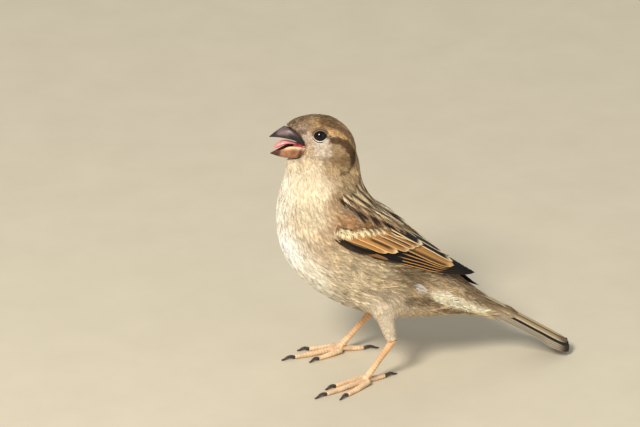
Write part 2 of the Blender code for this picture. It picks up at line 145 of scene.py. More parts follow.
def paint(made, colours):
    """Stores a linear colour at each corner point of a mesh."""
    layer = made.data.color_attributes.new("Col", "FLOAT_COLOR", "POINT")
    layer.data.foreach_set("color", np.concatenate([colours, np.ones((len(colours), 1))], 1).ravel())


def map_points(made, name, places):
    """Stores a UV map given by one place for each point."""
    corners = np.empty(len(made.data.loops), int)
    made.data.loops.foreach_get("vertex_index", corners)
    made.data.uv_layers.new(name=name).data.foreach_set("uv", np.asarray(places)[corners].ravel())


def mesh_arrays(mesh):
    points = np.empty(len(mesh.vertices) * 3)
    mesh.vertices.foreach_get("co", points)
    mesh.calc_loop_triangles()
    corners = np.empty(len(mesh.loop_triangles) * 3, int)
    mesh.loop_triangles.foreach_get("vertices", corners)
    return points.reshape(-1, 3), corners.reshape(-1, 3)


def point_normals(points, triangles):
    """Normals at points, each the mean of the faces round it."""
    a, b, c = (points[triangles[:, k]] for k in range(3))
    across = np.cross(b - a, c - a)
    total = np.zeros_like(points)
    for k in range(3):
        np.add.at(total, triangles[:, k], across)
    return unit(total)


def fused(names, swell, voxel, soften):
    """CAD nodes melted into one closed form: its points in millimetres and its triangles."""
    points, faces, offset = [], [], 0
    for name in names:
        corners, triangles = mesh_arrays(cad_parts[name].data)
        points.append(corners / MM)
        faces.append(triangles + offset)
        offset += len(corners)
    draft = mesh_object("draft", np.concatenate(points) / MM, np.concatenate(faces))
    steps = {
        "DISPLACE": {"strength": swell, "mid_level": 0.0},
        "REMESH": {"mode": "VOXEL", "voxel_size": voxel},
        "SMOOTH": {"factor": 0.5, "iterations": soften},
    }
    for kind, values in steps.items():
        step = draft.modifiers.new(kind, kind)
        for key, value in values.items():
            setattr(step, key, value)
    graph = bpy.context.evaluated_depsgraph_get()
    whole = bpy.data.meshes.new_from_object(draft.evaluated_get(graph))
    points, triangles = mesh_arrays(whole)
    bpy.data.objects.remove(draft)
    bpy.data.meshes.remove(whole)
    return points, triangles


def tree_of(points, triangles):
    return BVHTree.FromPolygons(points.tolist(), triangles.tolist())


def finished(made, look, slot, *nodes):
    made.data.materials.append(look)
    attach(made, "root")
    if nodes:
        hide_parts(*nodes)
    return made


# ---------------------------------------------------------------- the head's own frame
BILL_POINT = np.array([18.8, 0.0, 1.65])  # the upper bill's point: forward, left and up of mid head
EYE_PLACE = np.array([-0.4, 6.6, 2.7])  # the left eye's centre
EYE_RADIUS = 2.9


def head_frame():
    """Mid head, and the directions forward, left and up, from the eyes and the bill's point."""
    eyes = {side: node_middle(f"eye_{side}") for side in SIDES}
    middle = (eyes["left"] + eyes["right"]) / 2
    left = unit(eyes["left"] - eyes["right"])
    bill = node_points("bill_upper")
    reach = unit(bill[bill[:, 0].argmin()] - middle)
    reach = unit(reach - left * (reach @ left))
    rise = np.cross(reach, left)
    run, drop = BILL_POINT[0] - EYE_PLACE[0], BILL_POINT[2] - EYE_PLACE[2]
    turn = -math.atan2(drop, run)
    forward = math.cos(turn) * reach + math.sin(turn) * rise
    axes = np.array([forward, left, np.cross(forward, left)])
    return middle - np.array([EYE_PLACE[0], 0, EYE_PLACE[2]]) @ axes, axes


HEAD, HEAD_AXES = head_frame()


def from_head(places):
    return np.asarray(places, float) @ HEAD_AXES + HEAD


def to_head(points):
    return (np.asarray(points) - HEAD) @ HEAD_AXES.T


# ---------------------------------------------------------------- plumage: lie, length and colour
# Each station gives the plumage round one place. Head stations are in the head frame (forward,
# out to the side, up), body stations in (x, out to the side, z). Each group has its frame and its
# coat piece, each station its place, the lie of the feathers in the same frame, their length, how
# dark their centres are, and their colour.
STATIONS = (
    ("head", "head", {
        "brow": ((11.5, 0, 7.0), (-0.75, 0, 0.65), 1.9, 0.5, (124, 101, 72)),
        "forecrown": ((5, 0, 10.5), (-0.95, 0, 0.25), 2.5, 0.5, (124, 100, 66)),
        "crown": ((-3, 0, 10.5), (-1, 0, -0.12), 3.0, 0.40, (126, 97, 59)),
        "crown_side": ((-3, 5, 8.0), (-1, 0.05, -0.1), 2.8, 0.40, (126, 97, 58)),
        "nape": ((-11, 0, 4.0), (-0.6, 0, -0.8), 3.6, 0.30, (172, 138, 94)),
    }),
    ("head", "face", {
        "lore": ((8.4, 5, 2.4), (-0.9, 0.35, 0.1), 1.5, 0.20, (146, 118, 96)),
        "before_eye": ((4.6, 7.3, 2.0), (-0.95, 0.25, 0.1), 1.5, 0.10, (188, 166, 142)),
        "over_eye": ((1.0, 7.4, 6.4), (-1, 0.1, -0.02), 2.0, 0.15, (162, 132, 93)),
        "under_eye": ((-0.5, 9.0, -2.2), (-0.95, 0.1, -0.3), 1.7, 0.05, (214, 196, 174)),
        "gape": ((4.6, 6.9, -3.6), (-0.8, 0.3, -0.45), 1.6, 0.05, (200, 176, 146)),
        "cheek": ((-5.5, 9.6, -3.5), (-0.9, 0.0, -0.42), 2.6, 0.14, (160, 133, 98)),
        "ear": ((-9.5, 8.2, -7.0), (-0.75, -0.1, -0.65), 3.0, 0.18, (150, 122, 84)),
        "ear_low": ((-6.0, 8.6, -10.0), (-0.6, -0.1, -0.8), 3.2, 0.12, (178, 150, 112)),
        "hind_cheek": ((-13.5, 3.5, -5.0), (-0.4, 0, -0.9), 3.8, 0.25, (168, 136, 94)),
        "malar": ((4.5, 6.0, -8.2), (-0.6, 0.1, -0.78), 2.2, 0.08, (212, 190, 156)),
        "chin": ((8.6, 0, -8.2), (-0.45, 0, -0.9), 2.0, 0.02, (226, 208, 176)),
    }),
    ("head", "throat", {
        "throat": ((6.5, 0, -14), (0.1, 0, -1), 3.6, 0.03, (240, 226, 196)),
        "throat_side": ((4.5, 6.4, -13), (-0.25, 0.1, -0.95), 3.4, 0.06, (226, 208, 176)),
    }),
    ("body", "throat", {
        "fore_neck": ((-52.5, 0, 80), (0.05, 0, -1), 5.0, 0.04, (242, 232, 210)),
        "neck_side": ((-41, 10, 80), (0.3, 0.1, -0.95), 4.8, 0.12, (242, 222, 188)),
        "hind_neck": ((-25.5, 4, 86), (0.45, 0, -0.88), 4.6, 0.25, (192, 162, 120)),
    }),
    ("body", "breast", {
        "breast": ((-55.5, 0, 68), (0.25, 0, -0.97), 6.6, 0.06, (244, 236, 218)),
        "breast_side": ((-44, 13, 68), (0.50, 0.05, -0.86), 6.6, 0.14, (218, 200, 168)),
        "low_breast": ((-51, 4, 54), (0.62, 0, -0.78), 7.2, 0.08, (255, 252, 240)),
    }),
    ("body", "belly", {
        "belly_front": ((-42, 8, 44), (0.82, 0, -0.57), 7.6, 0.12, (250, 241, 220)),
        "belly": ((-30, 0, 33), (0.97, 0, -0.2), 7.6, 0.10, (238, 228, 206)),
        "belly_side": ((-28, 14, 45), (0.88, 0.02, -0.47), 8.0, 0.24, (214, 194, 160)),
    }),
    ("body", "flank", {
        "flank": ((-16, 18, 52), (0.88, 0, -0.47), 8.4, 0.40, (172, 149, 112)),
        "fore_flank": ((-31, 18, 58), (0.78, 0.05, -0.62), 7.6, 0.26, (206, 184, 147)),
        "hind_flank": ((0, 13, 44), (0.92, -0.1, -0.38), 8.8, 0.42, (172, 148, 112)),
        "vent_side": ((6, 9, 36), (0.93, -0.1, -0.36), 8.8, 0.34, (188, 162, 124)),
    }),
    ("body", "rump", {
        "vent": ((6, 0, 25), (0.97, 0, -0.12), 8.4, 0.08, (226, 208, 174)),
        "undertail": ((22, 4, 22), (0.88, 0, -0.45), 9.5, 0.10, (216, 194, 152)),
    }),
    ("body", "belly", {
        "thigh": ((-15, 12, 27), (0.30, 0.05, -0.95), 3.4, 0.06, (226, 208, 180)),
        "shank": ((-13, 14, 18), (0.15, 0, -0.98), 2.4, 0.05, (232, 212, 180)),
    }),
    ("body", "arm", {
        "bend": ((-37, 18.5, 64), (0.75, 0.1, -0.65), 4.2, 0.15, (196, 170, 136)),
        "lesser": ((-30, 18.5, 68), (0.80, -0.05, -0.60), 4.0, 0.42, (172, 130, 90)),
        "lesser_hind": ((-23, 18, 66), (0.82, -0.1, -0.56), 4.2, 0.45, (166, 126, 86)),
        "lesser_low": ((-31, 19.5, 64), (0.80, -0.05, -0.60), 3.8, 0.45, (158, 122, 86)),
    }),
    ("body", "back", {
        "collar": ((-22, 5, 76), (0.70, 0.05, -0.71), 6.4, 0.30, (156, 128, 90)),
        "shoulder": ((-32, 13, 76), (0.70, 0.1, -0.70), 5.4, 0.20, (170, 142, 106)),
        "back": ((-5, 4, 62), (0.75, 0, -0.66), 8.0, 0.40, (146, 120, 86)),
    }),
    ("body", "rump", {
        "rump_top": ((15, 0, 42), (0.80, 0, -0.6), 8.6, 0.25, (148, 122, 88)),
        "rump_side": ((18, 8, 34), (0.86, -0.05, -0.5), 8.8, 0.28, (208, 180, 140)),
        "tail_coverts": ((30, 0, 29), (0.86, 0, -0.5), 9.5, 0.30, (142, 118, 86)),
    }),
)
MARKINGS = {  # painted over the stations: frame, path, radius, soft edge, colour, strength
    "supercilium": ("head",
        ((-0.6, 7.9, 6.2), (-4.0, 8.7, 4.9), (-7.5, 8.4, 3.5), (-10.6, 7.5, 1.2), (-13.0, 5.4, -2.6)), 0.95,
        1.1, (182, 144, 96), 0.9),
    "lore_line": ("head", ((9.0, 4.6, 4.4), (5.4, 6.6, 4.2)), 0.5, 0.8, (112, 92, 72), 0.7),
    "eye_stripe": ("head",
        ((-3.6, 9.7, 1.6), (-7.4, 9.4, 1.0), (-10.6, 8.4, -0.9), (-12.4, 7.0, -4.2), (-13.4, 5.0, -8.0)),
        1.0, 0.9, (84, 60, 35), 0.95),
    "ear_edge": ("head", ((-13.4, 4.6, -8.0), (-12.8, 5.0, -10.4), (-11.0, 6.0, -12.3), (-8.6, 7.0, -13.0)),
        0.4, 0.9, (88, 65, 42), 0.75),
    "ear_shade": ("head", ((-6.2, 9.2, -7.6), (-8.6, 8.4, -8.6)), 0.8, 2.2, (138, 112, 80), 0.5),
    "eye_ring": ("head", ((2.6, 8.6, 2.2), (0, 9.2, -0.2), (-2.8, 9.4, 1.2)), 0.3, 1.0, (222, 206, 184),
        0.7),
    "pale_cheek": ("head", ((-1.2, 9.2, -3.6), (-3.6, 9.4, -4.1)), 0.2, 2.4, (236, 220, 202), 0.5),
    "crown_edge": ("head", ((-2, 6.4, 7.6), (-8.4, 6.2, 5.4), (-12.2, 4.4, 1.0)), 0.8, 1.5, (104, 77, 48),
        0.7),
    "flank_smudge": ("body", ((-8, 18, 46), (1, 16, 42.5)), 1.8, 3.4, (116, 94, 66), 0.5),
    "vent_smudge": ("body", ((-5, 15, 33.5), (6, 13, 31.6)), 1.3, 2.4, (112, 88, 58), 0.65),
    "pale_flank": ("body", ((-22, 18, 52), (-14, 18, 47)), 0.8, 3.0, (206, 188, 158), 0.5),
    "pale_spot": ("body", ((-1.8, 15, 40.4), (0.2, 15, 37.6)), 0.6, 1.0, (232, 226, 222), 0.7),
    "undertail_stripe": ("body", ((5.5, 13.5, 34.3), (15, 11.5, 28.8), (25.5, 8.5, 22.5)), 1.6, 1.2,
        (255, 240, 206), 0.95),
    "undertail_edge": ("body", ((6.0, 11.5, 28.0), (20.0, 9.0, 22.6)), 0.5, 1.2, (118, 92, 62), 0.7),
}
FRAMES, COATS, PLACES, LIES, LENGTHS, DARKNESS, SHADES = zip(
    *((kind, coat, *row) for kind, coat, rows in STATIONS for row in rows.values())
)
STATION_COLOURS = np.array([tint(*shade) for shade in SHADES])
# Distances outwards count for less, so that a marking's path need not lie on the skin
FLATTENED = {"head": np.array([1.0, 0.6, 1.0]), "body": np.array([1.0, 0.4, 1.0])}
WANDER = (1.6, 0.9)  # size and strength of the noise that frays the markings
MOTTLES = (  # place in the noise, size, strength everywhere, and strength more where feathers are dark
    (20.0, 5.5, 0.0, 0.8),
    (0.0, 3.2, 0.2, 0.0),
    (40.0, 1.1, 0.12, 1.3),
)
SPECKLE = (80.0, 0.55, 0.7, 2.4, 4.0)  # place, size, strength, and lengths of feather over which it fades


def side_places(points, kind):
    """Points in the frame of a station, with the middle coordinate counted out to either side."""
    places = to_head(points) if kind == "head" else np.array(points, float) - BODY_ORIGIN
    sign = np.where(places[:, 1] < 0, -1.0, 1.0)
    places[:, 1] = np.abs(places[:, 1])
    return places, sign


def station_weights(points):
    """Share of each station at each point, and the point's places and side in both frames."""
    places = {kind: side_places(points, kind) for kind in FLATTENED}
    away = [((places[kind][0] - np.array(place)) ** 2).sum(1) for kind, place in zip(FRAMES, PLACES)]
    weights = 1 / (np.stack(away, 1) + 1.0) ** 2
    return weights / weights.sum(1, keepdims=True), places


def raw_lie(points):
    """The direction in which the feathers lie at places, before it is laid on the skin."""
    weights, places = station_weights(points)
    total = np.zeros_like(points)
    for weight, kind, lie in zip(weights.T, FRAMES, LIES):
        own = np.tile(np.array(lie, float), (len(points), 1))
        own[:, 1] *= places[kind][1]
        own = own @ HEAD_AXES if kind == "head" else own
        total += weight[:, None] * unit(own)
    return unit(total)


def lie_of(points, normals):
    """The direction in which the feathers lie on the skin at its points."""
    return laid_on(raw_lie(points), normals)


def path_distance(places, path):
    """Distance from each place to a path through a few points."""
    best = np.full(len(places), 1e9)
    path = np.array(path, float)
    for start, end in zip(path[:-1], path[1:]):
        along = end - start
        share = np.clip((places - start) @ along / (along @ along), 0, 1)
        best = np.minimum(best, np.linalg.norm(places - start - share[:, None] * along, axis=1))
    return best


def plumage(points):
    """Length, darkness of the centre and colour of the plumage at points."""
    weights, places = station_weights(points)
    colours = weights @ STATION_COLOURS
    wander = (mottle(points, WANDER[0]) - 0.5) * WANDER[1]
    for kind, path, radius, soft, colour, strength in MARKINGS.values():
        away = path_distance(places[kind][0] * FLATTENED[kind], path * FLATTENED[kind]) + wander
        colours = mix(colours, tint(*colour), strength * (1 - smoothstep(radius, radius + soft, away)))
    length, dark = weights @ np.array(LENGTHS), weights @ np.array(DARKNESS)
    patchy = 0.0
    for at, size, plain, more in MOTTLES:
        patchy = patchy + (mottle(points + at, size) - 0.5) * (plain + more * dark)
    at, size, strength, short, long = SPECKLE
    speckle = (mottle(points + at, size) - 0.5) * strength * (1 - smoothstep(short, long, length))
    return length, dark, colours * ((1 + patchy) * (1 + speckle))[:, None]


# ---------------------------------------------------------------- skin
FLESH = ("head", "neck", "trunk", "rump", "tibia_left", "tibia_right")
ARMS = ("wing_coverts_left", "wing_coverts_right", "wing_flight_left", "wing_flight_right")
SWELL = 0.25  # closes the thin cuts before melting
COAT_DEPTH = (0.2, 0.09)  # least depth of the coat, and its growth with the feathers' length
THIN_SHARE = 0.3  # most of the body's thickness that the coat may take
FULL_DEPTH = 50.0  # thickness assumed where none is found
UNFOLDING = {"angle_limit": math.radians(66), "island_margin": 0.002}


def coat_depth(length):
    return COAT_DEPTH[0] + COAT_DEPTH[1] * length


def shrunk_skin(points, triangles):
    """The form under the coat: each point goes in by the coat's depth there."""
    normals = point_normals(points, triangles)
    tree = tree_of(points, triangles)
    room = np.full(len(points), FULL_DEPTH)
    for i, (place, normal) in enumerate(zip(points, normals)):
        hit = tree.ray_cast(Vector(place - normal * 0.05), Vector(-normal), 20.0)
        if hit[0] is not None:
            room[i] = hit[3]
    depth = np.minimum(coat_depth(plumage(points)[0]), THIN_SHARE * room) + SWELL
    return relaxed(points - normals * depth[:, None], triangles, 3)


def relaxed(points, triangles, rounds):
    """Evens out a mesh by drawing each point towards its neighbours."""
    edges = np.concatenate([triangles[:, [0, 1]], triangles[:, [1, 2]], triangles[:, [2, 0]]])
    for _ in range(rounds):
        total, count = np.zeros_like(points), np.zeros(len(points))
        np.add.at(total, edges[:, 0], points[edges[:, 1]])
        np.add.at(count, edges[:, 0], 1)
        points = points * 0.5 + 0.5 * total / np.maximum(count, 1)[:, None]
    return points


def unwrap(made):
    """Unfolds a piece's own shape into its OFBake map."""
    made.data.uv_layers.new(name="OFBake")
    bpy.context.view_layer.objects.active = made
    made.select_set(True)
    bpy.ops.object.mode_set(mode="EDIT")
    bpy.ops.mesh.select_all(action="SELECT")
    bpy.ops.uv.smart_project(**UNFOLDING)
    bpy.ops.object.mode_set(mode="OBJECT")
    made.select_set(False)


# ---------------------------------------------------------------- materials
def new_material(name, **inputs):
    """A material, its node tree and its shader, with inputs set by their names, _ for a space."""
    made = bpy.data.materials.new(name)
    made.use_nodes = True
    shader = made.node_tree.nodes["Principled BSDF"]
    for key, value in inputs.items():
        shader.inputs[key.replace("_", " ")].default_value = value
    return made, made.node_tree, shader


def add_node(tree, kind, **values):
    """A node with its properties, or else its inputs, set."""
    node = tree.nodes.new(kind)
    for key, value in values.items():
        if hasattr(node, key):
            setattr(node, key, value)
        else:
            node.inputs[key].default_value = value
    return node


def noise_of(tree, scale, detail=3.0, stretch=None):
    """A noise texture over object places or, stretched along the axes, over the map Barbs."""
    if stretch:
        places = add_node(tree, "ShaderNodeUVMap", uv_map="Barbs").outputs["UV"]
        mapping = add_node(tree, "ShaderNodeMapping", Scale=stretch)
        tree.links.new(places, mapping.inputs["Vector"])
        places = mapping.outputs["Vector"]
    else:
        places = add_node(tree, "ShaderNodeTexCoord").outputs["Object"]
    noise = add_node(tree, "ShaderNodeTexNoise", Scale=scale, Detail=detail, Roughness=0.6)
    tree.links.new(places, noise.inputs["Vector"])
    return noise.outputs["Fac"]


def ramp_of(tree, source, stops):
    """A colour ramp from (place, grey or colour) stops."""
    ramp = add_node(tree, "ShaderNodeValToRGB")
    band = ramp.color_ramp.elements
    band.remove(band[1])
    for index, (place, value) in enumerate(stops):
        spot = band.new(place) if index else band[0]
        spot.position = place
        spot.color = (*np.broadcast_to(value, 3), 1.0)
    tree.links.new(source, ramp.inputs["Fac"])
    return ramp.outputs["Color"]


def multiply(tree, first, second, share=1.0):
    blend = add_node(tree, "ShaderNodeMix", data_type="RGBA", blend_type="MULTIPLY")
    blend.inputs[0].default_value = share
    tree.links.new(first, blend.inputs[6])
    tree.links.new(second, blend.inputs[7])
    return blend.outputs[2]


def add_bump(tree, shader, height, strength, distance):
    bump = add_node(tree, "ShaderNodeBump", Strength=strength, Distance=distance * MM)
    tree.links.new(height, bump.inputs["Height"])
    tree.links.new(bump.outputs["Normal"], shader.inputs["Normal"])


def painted_colour(tree):
    return add_node(tree, "ShaderNodeAttribute", attribute_name="Col").outputs["Color"]


def grained(name, noise, stops, bump=None, **inputs):
    """A material coloured by a fine noise: greys darken the painted colour, and colours stand alone.

    noise: scale, detail and stretch. bump: strength and distance by which the noise lifts the surface.
    """
    made, tree, shader = new_material(name, **inputs)
    fine = noise_of(tree, *noise)
    colour = ramp_of(tree, fine, stops)
    if np.isscalar(stops[0][1]):
        colour = multiply(tree, painted_colour(tree), colour)
    tree.links.new(colour, shader.inputs["Base Color"])
    if bump:
        add_bump(tree, shader, fine, *bump)
    return made


def two_tones(dark, light):
    return (0.3, tint(*dark)), (0.7, tint(*light))


LOOSE_BARBS = grained(
    "loose_barbs", (900.0,), ((0.3, 0.86), (0.7, 1.12)),
    Roughness=0.78, Specular_IOR_Level=0.16, Sheen_Weight=0.1, Sheen_Roughness=0.5,
)
DOWN = grained(
    "down_skin", (1600.0, 4.0), ((0.3, 0.6), (0.7, 0.95)), (0.6, 0.3),
    Roughness=0.9, Specular_IOR_Level=0.1,
)
FIRM_VANE = grained(
    "firm_vane", (1.0, 2.0, (0.5, 5.0, 1.0)), ((0.32, 0.84), (0.5, 1.0), (0.68, 1.1)), (0.35, 0.12),
    Roughness=0.6, Specular_IOR_Level=0.2, Sheen_Weight=0.04,
)
BILL_HORN = grained(
    "bill_horn_gloss", (700.0, 5.0), ((0.3, 0.66), (0.7, 1.2)), (0.25, 0.15),
    Roughness=0.42, Specular_IOR_Level=0.4, Coat_Weight=0.06, Coat_Roughness=0.3,
)
TONGUE_FLESH, LINING_FLESH = (
    grained(
        name, (900.0,), two_tones(dark, light), (0.3, 0.2), Roughness=0.28, Specular_IOR_Level=0.5,
        Subsurface_Weight=0.15, Subsurface_Scale=0.6 * MM, Coat_Weight=0.3,
    )
    for name, dark, light in (
        ("tongue_wet", (222, 124, 124), (248, 172, 164)),
        ("lining_wet", (132, 34, 46), (196, 84, 92)),
    )
)
WET_EYE = grained(
    "eye_wet", (1200.0,), two_tones((8, 5, 4), (18, 12, 8)), Roughness=0.07, Specular_IOR_Level=0.3
)
LID_SKIN = grained(
    "lid_skin", (2600.0, 2.0), ((0.3, 0.75), (0.7, 1.1)), (0.5, 0.12),
    Roughness=0.6, Specular_IOR_Level=0.3,
)
CLAW_HORN = grained(
    "claw_horn", (1400.0,), two_tones((44, 34, 29), (84, 66, 54)), (0.1, 0.05),
    Roughness=0.45, Specular_IOR_Level=0.4,
)
PALE_FLOOR = grained(
    "pale_floor", (40.0, 6.0), two_tones((198, 187, 163), (203, 192, 168)),
    Roughness=0.9, Specular_IOR_Level=0.1,
)


def scaly_material():
    """Horny skin of the legs: small scales between the ringed plates."""
    made, tree, shader = new_material(
        "scaled_leg", Roughness=0.48, Specular_IOR_Level=0.4, Subsurface_Weight=0.08,
        Subsurface_Scale=0.5 * MM,
    )
    places = add_node(tree, "ShaderNodeTexCoord").outputs["Object"]
    cells = add_node(tree, "ShaderNodeTexVoronoi", Scale=1500.0, feature="DISTANCE_TO_EDGE")
    tree.links.new(places, cells.inputs["Vector"])
    seams = ramp_of(tree, cells.outputs["Distance"], ((0.0, 0.72), (0.12, 1.0)))
    blotch = ramp_of(tree, noise_of(tree, 300.0), ((0.3, 0.78), (0.7, 1.12)))
    colour = multiply(tree, multiply(tree, painted_colour(tree), seams, 0.7), blotch)
    tree.links.new(colour, shader.inputs["Base Color"])
    add_bump(tree, shader, cells.outputs["Distance"], 0.35, 0.1)
    return made


# ---------------------------------------------------------------- roots of the small feathers
SPACING = (0.42, 0.105)  # distance between roots: least, and growth with the feathers' length
TRIES = 5.0  # places tried for each root that would fit
EYE_AXIS = unit(np.array([0.14, 0.975, 0.17]))  # where the left eye looks, in the head frame
OPENING = (2.35, 1.95)  # half length and half height of the eye's opening
BARE_EYE = 0.85  # width kept clear round the opening
BARE_DROP = 0.35  # how far the clear place lies below the eye
GAPE = np.array([5.2, -1.9])  # corner of the mouth, (forward, up)
CULMEN_BASE = np.array([12.65, 5.85])
CHIN_BASE = np.array([7.4, -7.4])
BASE_BOW = 1.1  # how far the rear border of the upper bill bows back into the face
BILL_MARGIN = 0.3  # how far ahead of the bill's borders feathers may still root
BLUNT_END = 0.86  # no feather grows where the skin faces the lie of the coat by more than this


def ahead_of(places, start, end, bow=0.0):
    """How far places of the head lie ahead of a line from start to end, both (forward, up)."""
    along = unit(end - start)
    front = np.array([abs(along[1]), -along[0] * np.sign(along[1])])
    share = np.clip((places[:, [0, 2]] - start) @ along / np.linalg.norm(end - start), 0, 1)
    return (places[:, [0, 2]] - start) @ front + bow * np.sin(math.pi * share)


def bare_places(points, normals):
    """True where nothing grows: in the mouth and bill, round the eyes and on blunt ends."""
    head, _ = side_places(points, "head")
    above = (ahead_of(head, GAPE, CULMEN_BASE, BASE_BOW) > BILL_MARGIN) & (head[:, 2] > GAPE[1])
    under = (head[:, 2] <= GAPE[1]) & (head[:, 2] > CHIN_BASE[1] + 0.2)
    below = (ahead_of(head, GAPE, CHIN_BASE) > BILL_MARGIN) & under
    near_bill = (above | below) & (head[:, 0] > GAPE[0] - 1)
    from_eye = head - EYE_PLACE
    off_axis = from_eye - (from_eye @ EYE_AXIS)[:, None] * EYE_AXIS
    low = off_axis[:, 2] + BARE_DROP
    reach = np.hypot(off_axis[:, 0] / (OPENING[0] + BARE_EYE), low / (OPENING[1] + BARE_EYE))
    at_eye = (reach < 1) & (head[:, 1] > 5)
    blunt = (raw_lie(points) * normals).sum(1) > BLUNT_END
    return near_bill | at_eye | blunt


def scattered_roots(points, triangles, corner_uv):
    """Evenly scattered places on the skin, each with its normal and its place on the unwrap."""
    a, b, c = (points[triangles[:, k]] for k in range(3))
    area = np.linalg.norm(np.cross(b - a, c - a), axis=1) / 2
    length, _, _ = plumage((a + b + c) / 3)
    gap = SPACING[0] + SPACING[1] * length
    wanted = TRIES * area / gap**2
    count = np.floor(wanted + RANDOM.random(len(wanted))).astype(int)
    chosen = np.repeat(np.arange(len(triangles)), count)
    RANDOM.shuffle(chosen)
    u, v = RANDOM.random(len(chosen)), RANDOM.random(len(chosen))
    flip = u + v > 1
    u[flip], v[flip] = 1 - u[flip], 1 - v[flip]
    share = np.stack([1 - u - v, u, v], 1)
    corners = triangles[chosen]
    found = (points[corners], point_normals(points, triangles)[corners], corner_uv[chosen])
    places, upward, spots = (np.einsum("nk,nkj->nj", share, values) for values in found)
    keep = spaced_apart(places, gap[chosen])
    return places[keep], unit(upward)[keep], spots[keep]


def spaced_apart(places, gaps):
    """Indices of places that each keep their own gap from those taken before them."""
    cells = np.floor(places / gaps.max()).astype(int).tolist()
    around = list(product((-1, 0, 1), repeat=3))
    taken, kept = {}, []
    for i, ((x, y, z), place, gap) in enumerate(zip(cells, places.tolist(), gaps.tolist())):
        near = (taken.get((x + dx, y + dy, z + dz), ()) for dx, dy, dz in around)
        if all(math.dist(place, other) >= gap for cell in near for other in cell):
            taken.setdefault((x, y, z), []).append(place)
            kept.append(i)
    return np.array(kept)


# ---------------------------------------------------------------- small feathers of loose barbs
PATCH = 0.003  # size of one small feather on the unwrap
BUNCH = 4  # barbs that cling together and share one shade
SHARPEST_BEND = 0.35  # least cosine between the skin's normals at two ends of a bent feather
FARTHEST_PULL = 0.5  # most that a feather is bent back to the skin, as a share of its step
STRAY_TURN = 0.13  # spread of the turns by which feathers stray from the lie of the coat
CLING = 0.7  # how strongly the lie further on bends a feather
BARB_ENDS = (0.42, 1.0)  # where along a feather its first and last barbs end
BARB_LIE = (0.7, 0.22)  # a barb that ends at e has its foot at 0.7 e - 0.22
BARB_ROLL = 0.018
TWIST = np.array([1, -1, 1, -1, 0])  # how the five corners of a barb rise when it rolls
FOOT_DOWN_AND_SHADE = np.array([1.0, 1.0, 0.0, 0.0, -0.3])  # how the five corners of a barb darken to its foot, partly the grey down at a feather's base and partly painted shade among the roots, and lighten to its point


def along_skin(tree, places, normals, steps):
    """Moves places by steps and brings them back to the skin, or goes straight on past its ends."""
    landed, turned = places + steps, normals.copy()
    for i, place in enumerate(landed):
        spot, normal, _, away = tree.find_nearest(Vector(place))
        near = away < FARTHEST_PULL * np.linalg.norm(steps[i])
        if near and np.dot(normal, normals[i]) > SHARPEST_BEND:
            landed[i], turned[i] = spot, normal
    return landed, turned


def feather_spines(tree, roots, normals, length):
    """Three places along each feather over the skin, with the skin's normals there."""
    spine, outward = [roots], [normals]
    lie = lie_of(roots, normals)
    turn = RANDOM.normal(0, STRAY_TURN, len(roots))
    lie = unit(lie + np.cross(normals, lie) * turn[:, None])
    for _ in range(2):
        place, normal = along_skin(tree, spine[-1], outward[-1], lie * (length / 2)[:, None])
        normal = unit(normal + outward[-1] * 0.5)
        spine.append(place)
        outward.append(normal)
        lie = laid_on(unit(lie + CLING * lie_of(place, normal)), normal)
    return np.stack(spine, 1), np.stack(outward, 1)


def curve_through(three, share):
    """A parabola through three places of each feather, read at shares from 0 to 1, and its slope."""
    t = share[..., None]
    first, middle, last = (three[:, None, None, k, :] for k in range(3))
    place = first * (2 * (t - 0.5) * (t - 1)) + middle * (4 * t * (1 - t)) + last * (2 * t * (t - 0.5))
    return place, first * (4 * t - 3) + middle * (4 - 8 * t) + last * (4 * t - 1)


def barb_plan(count, barbs):
    """Each barb of each feather as five (across, along) places: foot pair, bend pair and point."""
    each = barbs // 2
    side = np.repeat([-1.0, 1.0], each)
    end = np.tile(np.linspace(*BARB_ENDS, each), 2)
    end = end + RANDOM.normal(0, 0.03, (count, 2 * each))
    wide = np.sqrt(np.clip(1 - ((end - 0.5) / 0.56) ** 2, 0.02, 1)) * side
    wide = wide * RANDOM.uniform(0.82, 1.1, wide.shape)
    foot = np.clip(end * BARB_LIE[0] - BARB_LIE[1], 0.0, 1)
    bend = foot + (end - foot) * 0.55
    thick = RANDOM.uniform(0.6, 1.15, wide.shape) * 0.55 / each
    across = np.stack([wide * 0.02, wide * 0.02, wide * 0.62, wide * 0.62, wide], -1)
    along = np.stack([foot - thick, foot + thick, bend - thick * 1.25, bend + thick * 1.25, end], -1)
    return across, along


def barb_faces(total):
    start = np.arange(total)[:, None, None] * 5
    return (start + np.array([[0, 1, 3], [0, 3, 2], [2, 3, 4]])).reshape(-1, 3)


def barb_shades(across, dark):
    """How much lighter or darker than the plumage each corner of each barb is."""
    dark = dark[:, None]
    uneven = 0.05 + 0.3 * dark
    count, barbs = across.shape[:2]
    own = (1 + RANDOM.normal(0, 1, (count, 1)) * uneven) * (1 + RANDOM.normal(0, 1, (count, barbs)) * uneven)
    bunches = 1 + RANDOM.normal(0, 1, (count, barbs // BUNCH + 1)) * uneven
    own = own * np.repeat(bunches, BUNCH, axis=1)[:, :barbs]
    inner = 1 - smoothstep(0.15, 0.75, np.abs(across[..., 4]))
    own = own * (1 - 0.75 * dark * inner)
    # Each barb's foot is darkened: grey down mixed with painted shade under the overlapping feathers.
    return own[..., None] * (1 - (0.12 + 0.36 * dark) * FOOT_DOWN_AND_SHADE)[:, None, :]


